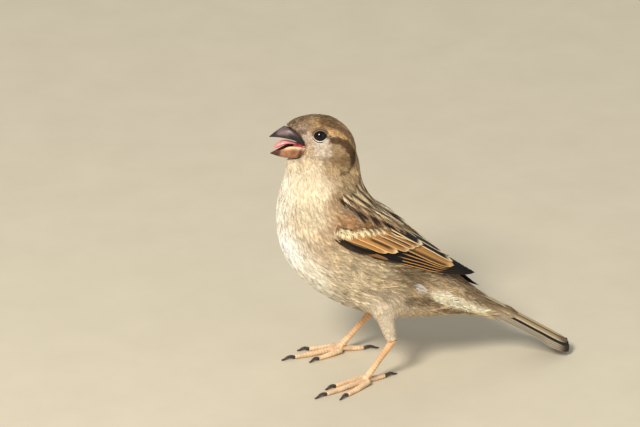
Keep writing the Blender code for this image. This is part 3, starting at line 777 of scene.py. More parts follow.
def loose_feathers(name, tree, roots, normals, spots, barbs):
    """One coat piece: a small feather of loose barbs at each root."""
    length, dark, _ = plumage(roots)
    length = length * RANDOM.uniform(0.85, 1.15, len(roots))
    rise = coat_depth(length) * RANDOM.uniform(0.75, 1.1, len(roots))
    spine, outward = feather_spines(tree, roots, normals, length)
    across, along = barb_plan(len(roots), barbs)
    length, rise = length[:, None, None], rise[:, None, None]
    place, heading = curve_through(spine, along)
    upward = unit(curve_through(outward, along)[0])
    sideways = unit(np.cross(upward, unit(heading)))
    roll = RANDOM.normal(0, BARB_ROLL, along.shape[:2])[..., None] * TWIST
    height = rise * (np.maximum(along, 0) ** 0.8 - 0.12) - 0.06 * length * across**2 + 0.3 * roll * length
    place = place + sideways * (across * (0.2 * length + 0.35))[..., None] + upward * height[..., None]
    _, _, colour = plumage(place[:, :, 2:].mean(2).reshape(-1, 3))
    colour = colour.reshape(*place.shape[:2], 1, 3) * barb_shades(across, dark)[..., None]
    made = mesh_object(name, place.reshape(-1, 3), barb_faces(across[..., 0].size))
    paint(made, np.clip(colour, 0, 1).reshape(-1, 3))
    patch = np.stack([across * 0.5, along - 0.5], -1) * PATCH + spots[:, None, None, :]
    map_points(made, "OFBake", patch.reshape(-1, 2))
    return finished(made, LOOSE_BARBS, "plumage")


# ---------------------------------------------------------------- drawing boards
class Board:
    """A flat sheet with axes a, b and n laid over the model, which follows its height along n."""

    def __init__(self, origin, axes, spans, tree, reach=30.0, blur=3):
        self.origin, self.axes = np.array(origin), np.array(axes)
        (self.low_a, high_a), (self.low_b, high_b) = spans
        self.height = np.full((int(high_a - self.low_a) + 1, int(high_b - self.low_b) + 1), np.nan)
        down = Vector(-self.axes[2])
        for i, j in np.ndindex(*self.height.shape):
            start = self.origin + (self.low_a + i) * self.axes[0] + (self.low_b + j) * self.axes[1]
            start = start + self.axes[2] * reach
            hit = tree.ray_cast(Vector(start), down, 2 * reach)
            if hit[0] is not None:
                self.height[i, j] = reach - hit[3]
        self.fill()
        for _ in range(blur):
            self.height = 0.4 * self.height + 0.6 * self.neighbours().mean(0)

    def neighbours(self):
        padded = np.pad(self.height, 1, mode="edge")
        return np.stack([padded[:-2, 1:-1], padded[2:, 1:-1], padded[1:-1, :-2], padded[1:-1, 2:]])

    def fill(self):
        """Carries the height on past the model's edge."""
        while np.isnan(self.height).any():
            around = self.neighbours()
            known = ~np.isnan(around)
            total, count = np.where(known, around, 0).sum(0), known.sum(0)
            open_cells = np.isnan(self.height) & (count > 0)
            self.height[open_cells] = total[open_cells] / count[open_cells]

    def level(self, a, b):
        """Height of the model at places of the board."""
        i = np.clip(np.asarray(a) - self.low_a, 0, self.height.shape[0] - 1.001)
        j = np.clip(np.asarray(b) - self.low_b, 0, self.height.shape[1] - 1.001)
        i0, j0 = i.astype(int), j.astype(int)
        s, t = i - i0, j - j0
        grid = self.height
        low = grid[i0, j0] * (1 - t) + grid[i0, j0 + 1] * t
        high = grid[i0 + 1, j0] * (1 - t) + grid[i0 + 1, j0 + 1] * t
        return low * (1 - s) + high * s

    def place(self, a, b, lift):
        return np.stack([a, b, self.level(a, b) + lift], -1) @ self.axes + self.origin

    def read(self, points):
        """Board places of points, and how far they lie above the followed height."""
        a, b, high = ((points - self.origin) @ self.axes.T).T
        return a, b, high - self.level(a, b)


def near_board(over, lowest=-6):
    """True for heights over a board at which a place still counts as under its feathers."""
    return (over > lowest) & (over < 3)


# ---------------------------------------------------------------- patterned feathers
def halved(quads):
    return np.concatenate([quads[:, [0, 1, 2]], quads[:, [0, 2, 3]]])


CELL_MARGIN = 0.04  # free border of each cell of the atlas
GRAIN_SHIFT = np.array([7.3, 3.1])  # how far the map Barbs moves from feather to feather


class Vanes:
    """Gathers patterned feathers into one piece."""

    def __init__(self, cells):
        self.cells, self.size, self.feathers = cells, 0, []

    def add(self, points, faces, colours, barbs, patch):
        """patch runs from 0 to 1 over the feather and goes into the next cell of the atlas."""
        count = len(self.feathers)
        cell = patch.reshape(-1, 2) * (1 - 2 * CELL_MARGIN) + CELL_MARGIN
        cell = cell + np.array([count % self.cells, count // self.cells])
        barbs = barbs.reshape(-1, 2) + count * GRAIN_SHIFT
        points = points.reshape(-1, 3)
        self.feathers.append((points, faces + self.size, colours.reshape(-1, 3), barbs, cell / self.cells))
        self.size += len(points)

    def finish(self, name, slot, *nodes):
        points, faces, colours, barbs, cells = (np.concatenate(parts) for parts in zip(*self.feathers))
        made = mesh_object(name, points, faces)
        paint(made, np.clip(colours, 0, 1))
        map_points(made, "OFBake", cells)
        map_points(made, "Barbs", barbs)
        finished(made, FIRM_VANE, slot, *nodes)


def sheet_faces(rows, columns):
    """Triangles of a closed thin sheet: an upper grid, a lower grid and the rim between them."""
    grid = np.arange(rows * columns).reshape(rows, columns)
    upper = np.stack([grid[:-1, :-1], grid[1:, :-1], grid[1:, 1:], grid[:-1, 1:]], -1).reshape(-1, 4)
    loop = np.concatenate([grid[:, 0], grid[-1, 1:], grid[-2::-1, -1], grid[0, -2:0:-1]])
    after = np.roll(loop, -1)
    rim = np.stack([after, loop, loop + grid.size, after + grid.size], -1)
    return halved(np.concatenate([upper, upper[:, ::-1] + grid.size, rim]))


def vane_outline(along, stem, tip):
    """Half width of a vane from 0 to 1: it opens over the stem and rounds off over the tip."""
    opening = np.sqrt(np.clip(along / stem, 0, 1))
    closing = np.sqrt(np.clip(1 - np.clip((along - 1 + tip) / tip, 0, 1) ** 2.2, 0, 1))
    return 0.12 + 0.88 * opening * closing


NO_STREAK = ((0, 0, 0), 0.0, (0.0, 1.0), 0.0)


def pattern(
    web, edge, tip, outer=0.1, inner=0.1, streak=NO_STREAK, side=0.0, soft=0.06, start=0.0, end=0.04
):
    """Colours of web, edge and tip, shares of the outer and inner web that are fringe, and the streak.

    streak: colour, half width, reach along the feather and depth; side: its place across, -1 to 1.
    soft: softness of all borders; start: where the fringes start; end: length of the tip.
    """
    dark, *streak = streak
    return tint(*web), tint(*edge), tint(*tip), tint(*dark), outer, inner, streak, side, soft, start, end


def webs(across, along, look):
    """Colour of a patterned feather: web, fringes on both sides, a streak, the tip and a thin shaft."""
    web, edge, tip, dark, outer, inner, (width, (first, last), depth), side, soft, start, end = LOOKS[look]
    out = smoothstep(1 - outer - soft, 1 - outer + soft, -across)
    inn = smoothstep(1 - inner - soft, 1 - inner + soft, across)
    from_start = smoothstep(start - 0.06, start + 0.06, along)
    colour = mix(web, edge, np.maximum(out, inn) * from_start)
    streak = 1 - smoothstep(width - soft, width + soft, np.abs(across - side))
    streak = streak * smoothstep(first - 0.08, first + 0.08, along)
    streak = streak * (1 - smoothstep(last - 0.12, last + 0.04, along))
    colour = mix(colour, dark, streak * depth)
    at_tip = smoothstep(1 - end - 0.05, 1 - end + 0.05, along + 0.06 * (1 - across**2))
    shaft = 1 - smoothstep(0.0, 0.09, np.abs(across))
    return mix(colour, tip, at_tip) * (1 - 0.25 * shaft * (1 - at_tip))[..., None]


LOOKS = {
    "primary": pattern((17, 13, 10), (58, 45, 32), (17, 13, 10), 0.08, 0.02),
    "secondary": pattern((17, 12, 8), (206, 150, 84), (44, 33, 22), 0.13, 0.0, soft=0.03, start=0.36,
        end=0.08),
    "hand_buff": pattern((136, 96, 56), (92, 64, 38), (120, 84, 50), 0.3),
    "tertial_low": pattern((184, 134, 74), (212, 164, 100), (212, 170, 112), 0.16, 0.0,
        ((40, 27, 17), 0.2, (0.0, 0.97), 0.9), side=-0.68, soft=0.1),
    "tertial_mid": pattern((18, 13, 9), (238, 212, 166), (226, 196, 146), 0.26, 0.2),
    "tertial_top": pattern((18, 13, 9), (232, 202, 152), (232, 206, 160), 0.26, 0.14, end=0.07),
    "hand_covert": pattern((15, 11, 8), (84, 60, 36), (18, 13, 9), 0.12, 0.0),
    "greater_low": pattern((168, 118, 62), (200, 152, 90), (218, 184, 130), 0.2, 0.3,
        ((128, 84, 44), 0.2, (0.1, 0.8), 0.6), soft=0.12),
    "greater": pattern((170, 121, 67), (222, 184, 128), (226, 192, 138), 0.14, 0.1,
        ((28, 19, 12), 0.24, (0.35, 0.86), 0.95)),
    "greater_dark": pattern((158, 110, 60), (234, 204, 154), (230, 198, 146), 0.16, 0.12,
        ((20, 14, 9), 0.38, (0.3, 0.9), 1.0)),
    "median": pattern((150, 110, 68), (206, 170, 116), (255, 236, 188), 0.2, 0.2,
        ((120, 86, 52), 0.3, (0.2, 0.6), 0.6), soft=0.1, end=0.56),
    "median_dark": pattern((120, 86, 52), (196, 160, 108), (255, 238, 192), 0.2, 0.2,
        ((30, 22, 15), 0.5, (0.1, 0.66), 1.0), soft=0.1, end=0.54),
    "median_hind": pattern((140, 102, 62), (200, 158, 104), (250, 228, 182), 0.2, 0.2,
        ((70, 48, 30), 0.4, (0.2, 0.8), 0.7), soft=0.1, end=0.42),
    "scapular": pattern((172, 138, 100), (222, 192, 148), (200, 168, 126), 0.16, 0.12,
        ((44, 29, 22), 0.6, (0.2, 0.9), 1.0), soft=0.12, end=0.06),
    "scapular_plain": pattern((160, 128, 92), (196, 164, 122), (186, 154, 112), 0.4, 0.4,
        ((70, 48, 30), 0.12, (0.1, 0.85), 0.8), soft=0.25),
    "mantle": pattern((232, 200, 152), (255, 238, 200), (222, 190, 142), 0.36, 0.36,
        ((14, 10, 7), 0.44, (0.0, 0.93), 1.0), soft=0.07),
    "mantle_plain": pattern((170, 138, 98), (222, 192, 148), (190, 158, 114), 0.4, 0.4,
        ((80, 56, 34), 0.14, (0.0, 0.9), 0.7), soft=0.2),
    "rump": pattern((150, 124, 90), (178, 150, 114), (170, 142, 104), 0.3, 0.3,
        ((96, 74, 50), 0.25, (0.1, 0.9), 0.7), soft=0.2),
    "tail_covert": pattern((140, 116, 84), (182, 156, 118), (160, 134, 98), 0.3, 0.3,
        ((74, 56, 38), 0.3, (0.2, 0.94), 0.85), soft=0.12),
    "undertail": pattern((214, 192, 152), (240, 224, 190), (232, 212, 172), 0.4, 0.4,
        ((150, 122, 88), 0.2, (0.3, 0.9), 0.6), soft=0.2),
    "rectrix": pattern((78, 64, 48), (184, 168, 142), (60, 48, 36), 0.17, 0.06,
        ((52, 41, 30), 0.1, (0.0, 1.0), 0.8), soft=0.08, end=0.05),
    "rectrix_dark": pattern((34, 27, 20), (44, 35, 26), (34, 27, 20)),
    "rectrix_middle": pattern((166, 141, 102), (204, 184, 148), (104, 86, 62), 0.24, 0.24,
        ((84, 66, 46), 0.12, (0.0, 1.0), 0.9), soft=0.16, end=0.05),
}
VANE_THICKNESS = 0.1
UNDERSIDE = 0.8  # how dark the lower face of a vane is beside the upper one
SWEEP = 0.35  # how far the edges of a vane lie back from its shaft, as a share of its half width
CAMBER = 0.07  # height of a vane's shaft over its edges
HALF_CELL = np.array([0.48, 1])  # share of an atlas cell that each face of a vane takes


def board_line(root, tip):
    """Length of a feather on a board, and what turns places along and across it into (a, b)."""
    root, run = np.array(root, float), np.array(tip, float) - root
    length = np.linalg.norm(run)
    ahead, aside = run / length

    def spot(forward, outward):
        return root[0] + forward * ahead - outward * aside, root[1] + forward * aside + outward * ahead

    return length, spot


def barb_map(across, along, half_width, length):
    """Places on the map Barbs, and from 0 to 1 over the feather."""
    barbs = np.stack([across * half_width, along * length - np.abs(across) * half_width], -1)
    return barbs, np.stack([(across + 1) / 2, along], -1)


def level_of(across, along, lift):
    low, high, shingle = lift
    return low + (high - low) * along + shingle * (1 - across) / 2


def firm_feather(vanes, board, root, tip, half_width, look, lift, options):
    """Lays one firm feather on a board, from root to tip, both (a, b).

    lift: heights of the root, of the tip, and of the lower edge over the upper one.
    """
    columns, rows = options.get("grid", (9, 16))
    across = np.tile(np.sin(np.linspace(-math.pi / 2, math.pi / 2, columns)), (rows, 1))
    along = np.repeat(np.linspace(0, 1, rows)[:, None], columns, 1)
    wide = half_width * vane_outline(along, options.get("stem", 0.25), options.get("tip", 0.35))
    ragged = RANDOM.uniform(0.96, 1.0, (rows, 1))
    length, spot = board_line(root, tip)
    swept = SWEEP * half_width * np.abs(across) ** 1.5 * smoothstep(0.0, 0.4, along)
    reach = along * length - swept
    bow = options.get("bow", 0.0) * length * np.sin(math.pi * along)
    a, b = spot(reach, across * wide * ragged + bow)
    level = level_of(across, along, lift) + CAMBER * (1 - across**2) * wide / half_width
    points = np.array([board.place(a, b, level), board.place(a, b, level - VANE_THICKNESS)])
    colour = webs(across, along, look) * RANDOM.normal(1, 0.05)
    barbs, patch = barb_map(across, along, half_width, length)
    patch = patch * HALF_CELL
    colours, patches = np.array([colour, colour * UNDERSIDE]), np.array([patch, patch + [0.52, 0]])
    vanes.add(points, sheet_faces(rows, columns), colours, np.array([barbs, barbs]), patches)


def soft_feather(vanes, board, root, tip, half_width, look, lift, options):
    """Lays one patterned feather of loose barbs on a board, so that its edges stay frayed."""
    (across,), (along,) = barb_plan(1, options["barbs"])
    length, spot = board_line(root, tip)
    a, b = spot(along * length, across * half_width)
    roll = RANDOM.normal(0, 0.03, len(along))[:, None] * TWIST
    points = board.place(a, b, level_of(across, along, lift) - 0.25 * across**2 + roll)
    colour = webs(across, along, look) * RANDOM.normal(1, 0.06, (len(along), 1, 1))
    colour = colour * RANDOM.normal(1, 0.06)
    vanes.add(points, barb_faces(len(along)), colour, *barb_map(across, along, half_width, length))


def feather_row(vanes, board, count, roots, tips, half_widths, look, lift, options):
    """A row of patterned feathers between its first and last root, (a, b), and first and last tip."""
    lay = soft_feather if "barbs" in options else firm_feather
    roots, tips = np.array(roots, float), np.array(tips, float)
    for t in np.linspace(0, 1, count):
        shake = RANDOM.normal(0, options.get("jitter", 0.12), (2, 2))
        root = roots[0] * (1 - t) + roots[1] * t + shake[0]
        tip = tips[0] * (1 - t) + tips[1] * t + shake[1]
        wide = half_widths[0] * (1 - t) + half_widths[1] * t
        lay(vanes, board, root, tip, wide, look, lift, options)


# ---------------------------------------------------------------- wings
WING_PARTS = ("coverts", "flight", "tip")
FURTHER = {"left": 0.0, "right": 2.4}  # how much further back each wing's longest feathers reach
LONG = {"grid": (17, 44), "tip": 0.22, "stem": 0.1, "jitter": 0.04}
COVERT = {"grid": (15, 26), "tip": 0.26, "stem": 0.2}
TERTIAL = {**LONG, "grid": (19, 40), "tip": 0.45}
MEDIAN = {"barbs": 120, "jitter": 0.2}
COVERT_LIFT, MEDIAN_LIFT = (-0.75, -0.2, 0.6), (-0.4, 0.3, 0.3)
SHOULDER_LIFT, EDGE_LIFT = (-0.1, 0.55, 0.3), (0.1, 0.75, 0.3)
SECONDARIES = (  # root, tip and half width, a from the bend to the tip, b up from the middle of the wing
    ((14, -3.8), (50.5, -3.0), 2.1),
    ((14, -2.6), (52.2, -2.2), 2.1),
    ((14, -1.3), (53.4, -1.4), 2.1),
    ((16, 1.0), (53.8, -0.8), 2.4),
)
GREATER_COVERTS = (
    ("greater_low", (0.5, 0.4), (21.2, -2.9), 1.5),
    ("greater", (5.0, 1.7), (25.3, -1.9), 1.9),
    ("greater", (10.0, 3.6), (30.2, 0.0), 2.1),
    ("greater_dark", (13.0, 4.8), (32.8, 1.5), 1.9),
    ("greater_dark", (16.0, 5.8), (35.2, 2.9), 1.8),
)
MEDIAN_COVERTS = (
    (4, ((14.6, 6.8), (8.6, 5.0)), ((19.0, 4.0), (13.0, 1.8)), (2.2, 2.1), "median_hind"),
    (2, ((6.8, 4.4), (4.4, 3.4)), ((11.2, 1.0), (8.8, -0.1)), (2.3, 2.3), "median"),
    (2, ((2.4, 2.8), (0.4, 2.6)), ((6.6, -0.9), (4.6, -0.9)), (2.2, 2.2), "median_dark"),
)
SCAPULARS = (  # root, tip, half width and barbs
    ((2.0, 12.4), (12.0, 4.6), 2.3, 100),
    ((8.4, 11.4), (17.0, 4.8), 2.2, 90),
    ((13.2, 10.2), (22.6, 5.6), 2.0, 90),
    ((19.5, 10.0), (28.6, 6.0), 1.9, 90),
    ((-0.6, 14.0), (6.2, 8.8), 1.6, 70),
    ((-3.0, 14.6), (3.2, 10.2), 1.4, 70),
)
MANTLE_EDGE = (
    ((-1.4, 15.8), (5.4, 12.0), 1.7, 90),
    ((11.0, 14.0), (23.5, 9.8), 2.0, 110),
    ((1.5, 17.0), (14.5, 12.4), 2.1, 110),
    ((15.5, 15.6), (28.5, 11.0), 2.0, 110),
    ((5.0, 19.2), (19.0, 14.2), 2.2, 110),
    ((19.0, 16.8), (31.0, 12.4), 2.0, 110),
)
WING_EDGES = {  # a: lowest and highest b that the wing's own rows cover
    -2: (-0.2, 0.8), 1: (-1.6, 1.6), 6: (-3.9, 1.8), 12: (-5.2, 4.0), 18: (-5.6, 7.0), 24: (-6.6, 8.0),
    30: (-6.8, 8.6), 36: (-6.5, 7.4), 42: (-6.0, 6.2), 48: (-5.0, 5.2), 54: (-4.6, 3.6), 60: (-3.8, 2.4),
    66: (-3.0, 2.0),
}
SHOULDER_EDGES = {  # the same for the shoulder feathers
    -3: (14.6, 15.4), 0: (12.6, 17.0), 4: (10.6, 18.0), 8: (8.4, 18.0), 12: (6.4, 17.5), 18: (6.8, 16.0),
    24: (7.2, 14.0), 29: (8.0, 11.0),
}


def one(look, root, tip, half_width, lift, options):
    """A row of a single feather."""
    return 1, (root, root), (tip, tip), (half_width, half_width), look, lift, {**options, "jitter": 0.0}


def wing_rows(further):
    """Rows of one wing: count, first and last root, then tip, half widths, look, lift, options."""
    return [
        (6, ((14, -3.4), (17, -1.0)), ((64.8 + further, -0.7), (55.0, 1.4)), (2.0, 2.4), "primary",
         (-1.9, -0.5, 0.3), {**LONG, "tip": 0.34, "bow": -0.026}),
        *(one("secondary", *place, (-1.75 + 0.16 * k, -1.2 + 0.16 * k, 0.7), LONG)
          for k, place in enumerate(SECONDARIES)),
        one("hand_covert", (15, -4.0), (29.4, -4.9), 1.1, (-1.0, -0.6, 0.3), {"grid": (9, 20), "tip": 0.5}),
        one("hand_buff", (9, -4.0), (22.8, -5.3), 0.7, (-0.9, -0.5, 0.3), {"grid": (7, 20), "tip": 0.6}),
        (4, ((0.4, -1.8), (2.4, -1.4)), ((14.0, -4.9), (16.8, -4.1)), (0.7, 0.8), "hand_covert",
         (-1.0, -0.5, 0.3), {"grid": (9, 22), "tip": 0.4, "stem": 0.6, "jitter": 0.06, "bow": -0.06}),
        one("tertial_low", (20, 3.7), (54.0, -0.5), 3.1, (-0.8, -0.4, 0.6), TERTIAL),
        one("tertial_mid", (20, 5.8), (53.0, 0.9), 1.7, (-0.6, -0.1, 0.5), {**TERTIAL, "bow": 0.03}),
        one("tertial_mid", (20, 8.2), (48.5, 3.1), 1.2, (-0.5, 0.05, 0.5), {**TERTIAL, "bow": 0.02}),
        *(one(*place, COVERT_LIFT, COVERT) for place in GREATER_COVERTS),
        one("tertial_top", (17, 8.6), (36.6, 3.7), 2.0, (-0.3, 0.2, 0.5), {**TERTIAL, "grid": (15, 28)}),
        *((*row, MEDIAN_LIFT, MEDIAN) for row in MEDIAN_COVERTS),
        one("median", (-1.4, 2.6), (2.8, -0.3), 1.8, MEDIAN_LIFT, MEDIAN),
    ]


def shoulder_rows():
    return [
        *(one("scapular", *place, SHOULDER_LIFT, {"barbs": barbs}) for *place, barbs in SCAPULARS),
        (5, ((1.4, 15.2), (20.0, 10.6)), ((8.0, 10.8), (29.5, 7.4)), (1.8, 2.0), "scapular_plain",
         (0.05, 0.6, 0.3), {"barbs": 84, "jitter": 0.25}),
        *(one("mantle", *place, EDGE_LIFT, {"barbs": barbs}) for *place, barbs in MANTLE_EDGE),
    ]


def upright(axis):
    """An axis turned so that it points up."""
    return axis * np.sign(axis[2])


def wing_frame(names):
    """Front of a folded wing and its directions: back to the tip, up over the back, outwards."""
    points = np.unique(np.round(node_points(*names), 2), axis=0)
    middle = points.mean(0)
    _, axes = np.linalg.eigh(np.cov((points - middle).T))
    outward = axes[:, 0] * np.sign(axes[1, 0] * (middle[1] - MIDLINE))
    front = points[points[:, 0] < points[:, 0].min() + 3].mean(0)
    back = points[points[:, 0].argmax()] - front
    back = unit(back - outward * (back @ outward))
    return front, np.array([back, upright(np.cross(outward, back)), outward])


def wing_feathers(side, shell_tree):
    """One wing's feathers, with the boards that they lie on."""
    names = [f"wing_{part}_{side}" for part in WING_PARTS]
    front, axes = wing_frame(names)
    flight = Board(front, axes, ((-8, 70), (-12, 20)), tree_of(*fused(names, SWELL, 0.5, 3)))
    whole = Board(front, axes, ((-8, 45), (-12, 24)), shell_tree)
    vanes = Vanes(12)
    for row in wing_rows(FURTHER[side]):
        feather_row(vanes, flight, *row)
    for row in shoulder_rows():
        feather_row(vanes, whole, *row)
    vanes.finish(f"wing_feathers_{side}", "wing", *names)
    return flight, whole


def covered(points, board, edges):
    """True for places of the skin under the feathers that lie on a board."""
    a, b, over = board.read(points)
    lows, highs = (np.interp(a, list(edges), [edge[k] for edge in edges.values()]) for k in (0, 1))
    inside = (a > min(edges) + 0.5) & (a < max(edges) - 1) & (b > lows + 0.5) & (b < highs)
    return inside & near_board(over)


# ---------------------------------------------------------------- mantle and tail
RIGHT = np.array([0.0, 1.0, 0.0])
MANTLE_ROWS = 9
MANTLE_COLUMNS = (-10.4, -7.8, -5.2, -2.6, 0.0, 2.6, 5.2, 7.8, 10.4)
MANTLE_LIFT = (-0.7, 0.1, 0.0)
TAIL_PAIRS = 6
TAIL_SLOPE = 0.9  # drop from the inner to the outer edge of each tail feather
TAIL_SHAPE = {"grid": (13, 40), "tip": 0.16, "stem": 0.1}
RUMP_ROWS = (  # tip along the tail, length, half width, outermost place across, feathers, look
    (19.0, 18.0, 1.5, 1.0, 2, "tail_covert"),
    (15.0, 17.0, 1.7, 1.8, 3, "tail_covert"),
    (10.5, 16.0, 2.0, 3.4, 4, "tail_covert"),
    (6.0, 15.0, 2.2, 4.8, 5, "tail_covert"),
    (1.5, 14.0, 2.3, 6.4, 7, "tail_covert"),
    (-3.0, 13.0, 2.4, 7.4, 7, "rump"),
    (-7.5, 12.0, 2.4, 8.2, 8, "rump"),
    (-12.0, 12.0, 2.4, 8.8, 8, "rump"),
    *((tip, 12.0, 2.4, 9.0, 9, "rump") for tip in (-16.5, -21.0, -25.5, -30.0)),
)
UNDERTAIL_ROWS = (
    (15.0, 16.0, 1.9, 1.8, 3, "undertail"),
    (10.5, 15.0, 2.1, 3.4, 4, "undertail"),
    (6.0, 14.0, 2.3, 4.8, 5, "undertail"),
    (1.5, 13.0, 2.4, 6.0, 6, "undertail"),
    (-3.0, 12.0, 2.4, 6.6, 6, "undertail"),
)
RUMP_LIFT, UNDERTAIL_LIFT = (-1.5, -0.35), (-1.1, -0.1)
TAIL_RISE = 1.0  # how far the last of them rise, to lie on the tail feathers


def board_axes(along):
    """Directions of a board over the back or tail: along, to the bird's right, and up."""
    return np.array([along, RIGHT, upright(np.cross(along, RIGHT))])


def mantle_board(tree):
    """A board over the back, a down the back from the nape, b out to the bird's right."""
    start, end = BODY_ORIGIN + [-27.0, 0.0, 84.0], BODY_ORIGIN + [12.0, 0.0, 50.0]
    return Board(start, board_axes(unit(end - start)), ((-6, 60), (-20, 20)), tree)


def mantle_feathers(board):
    """Streaked feathers over the back, their dark centres in line and plain ones between."""
    vanes = Vanes(10)
    for row in reversed(range(MANTLE_ROWS)):
        start, spread = 3.0 + row * 3.7, 1.0 - 0.03 * row
        for index, column in enumerate(MANTLE_COLUMNS):
            root = np.array([start + RANDOM.normal(0, 0.7), column * spread + RANDOM.normal(0, 0.15)])
            tip = root + np.array([10.2 + RANDOM.normal(0, 0.6), -column * 0.12 + RANDOM.normal(0, 0.2)])
            kind = "mantle" if index % 2 else "mantle_plain"
            soft_feather(vanes, board, root, tip, 2.0, kind, MANTLE_LIFT, {"barbs": 60})
    vanes.finish("mantle_feathers", "plumage")


def on_mantle(points, board):
    a, b, over = board.read(points)
    return (a > 3) & (a < 38) & (np.abs(b) < 11 - 0.1 * a) & near_board(over)


def tail_frame():
    """Root of the tail, its directions and its length."""
    points = node_points("tail")
    root = points[points[:, 0] < points[:, 0].min() + 4].mean(0)
    end = points[points[:, 0] > points[:, 0].max() - 4].mean(0)
    root[1] = end[1] = MIDLINE
    along = unit(end - root)
    return root, board_axes(along), (points - root).dot(along).max()


def tail_feathers():
    """Twelve tail feathers, the middle pair on top."""
    root, axes, length = tail_frame()
    tree = tree_of(*fused(["tail"], SWELL, 0.35, 2))
    board = Board(root, axes, ((-12, 40), (-8, 8)), tree, reach=15.0, blur=2)
    vanes = Vanes(4)
    for pair, side in product(reversed(range(TAIL_PAIRS)), (-1, 1)):
        share = pair / (TAIL_PAIRS - 1)
        start = (-9.0, side * (0.8 + 2.6 * share))
        spread = (1.4, 2.4)[pair] if pair < 2 else 2.4 + 0.4 * (pair - 1)
        tip = (length - 0.9 + 0.9 * math.sin(share * math.pi * 0.6), side * spread)
        base, end = 2.2 - 0.36 * pair - 0.04 * (side > 0), 1.5 - 0.42 * pair
        drop = TAIL_SLOPE * (side > 0)
        kind = ("rectrix_middle", "rectrix_dark")[pair] if pair < 2 else "rectrix"
        lift = (base - drop, end - drop, side * TAIL_SLOPE)
        firm_feather(vanes, board, start, tip, 2.5, kind, lift, TAIL_SHAPE)
    vanes.finish("tail_feathers", "tail", "tail")


def rump_feathers():
    """Long soft feathers that run from the rump over and under the tail's root, with their boards."""
    root, axes, _ = tail_frame()
    tree = tree_of(*fused(("trunk", "rump", "tail"), SWELL, 0.5, 3))
    above = Board(root, axes, ((-46, 30), (-14, 14)), tree, blur=4)
    below = Board(root, axes * [[1.0], [1.0], [-1.0]], ((-30, 30), (-14, 14)), tree, blur=4)
    vanes = Vanes(10)
    plans = ((above, RUMP_ROWS, RUMP_LIFT), (below, UNDERTAIL_ROWS, UNDERTAIL_LIFT))
    for board, rows, (low, high) in plans:
        for tip, length, half_width, reach, count, kind in rows:
            over_tail = TAIL_RISE * smoothstep(8.0, 18.0, tip) * (board is above)
            for place in np.linspace(-reach, reach, count):
                end = np.array([tip - 0.35 * abs(place) + RANDOM.normal(0, 0.5), place * 0.9])
                start = end - [length, RANDOM.normal(-0.06 * place, 0.3)]
                lift = (low, high + over_tail, 0.0)
                soft_feather(vanes, board, start, end, half_width, kind, lift, {"barbs": 56})
    vanes.finish("rump_feathers", "plumage")
    return above, below


def at_tail_root(points, above, below):
    """True for places of the skin under the long feathers over and under the tail's root."""
    found = np.zeros(len(points), bool)
    for board, first, reach in ((above, -32.0, 7.5), (below, -6.0, 5.5)):
        a, b, over = board.read(points)
        found |= (a > first) & (np.abs(b) < reach) & near_board(over, -4)
    return found | (a > -2.0)


# ---------------------------------------------------------------- bill, mouth and tongue
# Each bill section: ridge (forward, up), cutting edge (forward, up), half width, bow of the side
UPPER_BILL = {
    "root": ((11.4, 4.9), (4.4, -1.9), 4.3, 2.0),
    "base": ((13.0, 5.55), (5.8, -1.55), 4.8, BASE_BOW),
    "nostril": ((13.7, 5.2), (8.3, 0.1), 4.3, 1.1),
    "middle": ((14.7, 4.65), (10.9, 0.95), 3.6, 0.6),
    "fore": ((15.8, 3.95), (13.4, 1.4), 2.7, 0.3),
    "hook": ((17.1, 3.0), (15.8, 1.65), 1.7, 0.1),
    "tip": ((18.3, 2.05), (17.8, 1.6), 0.7, 0.0),
    "point": ((18.8, 1.7), (18.65, 1.5), 0.15, 0.0),
}
LOWER_BILL = {
    "root": ((6.2, -6.2), (4.4, -2.2), 4.2, 0.0),
    "base": ((7.95, -7.0), (5.85, -2.2), 4.6, 0.0),
    "gonys": ((9.8, -7.05), (8.4, -1.85), 4.2, 0.0),
    "middle": ((12.2, -6.85), (11.2, -1.85), 3.5, 0.0),
    "fore": ((14.4, -6.4), (13.4, -2.75), 2.6, 0.0),
    "near_tip": ((16.5, -5.75), (16.0, -3.85), 1.6, 0.0),
    "tip": ((18.0, -5.15), (17.9, -4.55), 0.6, 0.0),
    "point": ((18.45, -4.95), (18.4, -4.7), 0.15, 0.0),
}
TONGUE = {  # forward, bottom up, top up, half width
    "root": (8.0, -1.6, -1.1, 1.2),
    "back": (10.2, -1.45, -0.35, 1.9),
    "hump": (12.4, -1.45, 0.15, 2.2),
    "middle": (14.3, -2.1, -0.1, 2.1),
    "blade": (15.9, -2.7, -1.0, 1.5),
    "tip": (17.0, -2.6, -2.1, 0.5),
}
LINING = {  # the same for the flesh at the back of the mouth, which shows at its corners
    "corner": (3.9, -2.15, -1.75, 4.6),
    "fold": (4.9, -2.55, -1.1, 5.3),
    "rear": (6.2, -2.6, -0.75, 5.0),
    "floor": (7.8, -2.5, -0.9, 4.2),
    "fore": (9.6, -2.3, -1.5, 3.0),
}
BILL_RINGS, BILL_SIDES, BILL_VAULT = 64, 40, 25  # the vault is the outer share of the sides
FLESH_RINGS, FLESH_SIDES = 40, 32
UPPER_HOLLOW, LOWER_HOLLOW = 0.18, 0.45  # how far the inner side of each bill half bulges to its ridge
TONGUE_GROOVE = 0.18


def loft_faces(rings, sides):
    i, j = np.indices((rings - 1, sides))
    spot, after = i * sides + j, i * sides + (j + 1) % sides
    return np.stack([spot, after, after + sides, spot + sides], -1).reshape(-1, 4)


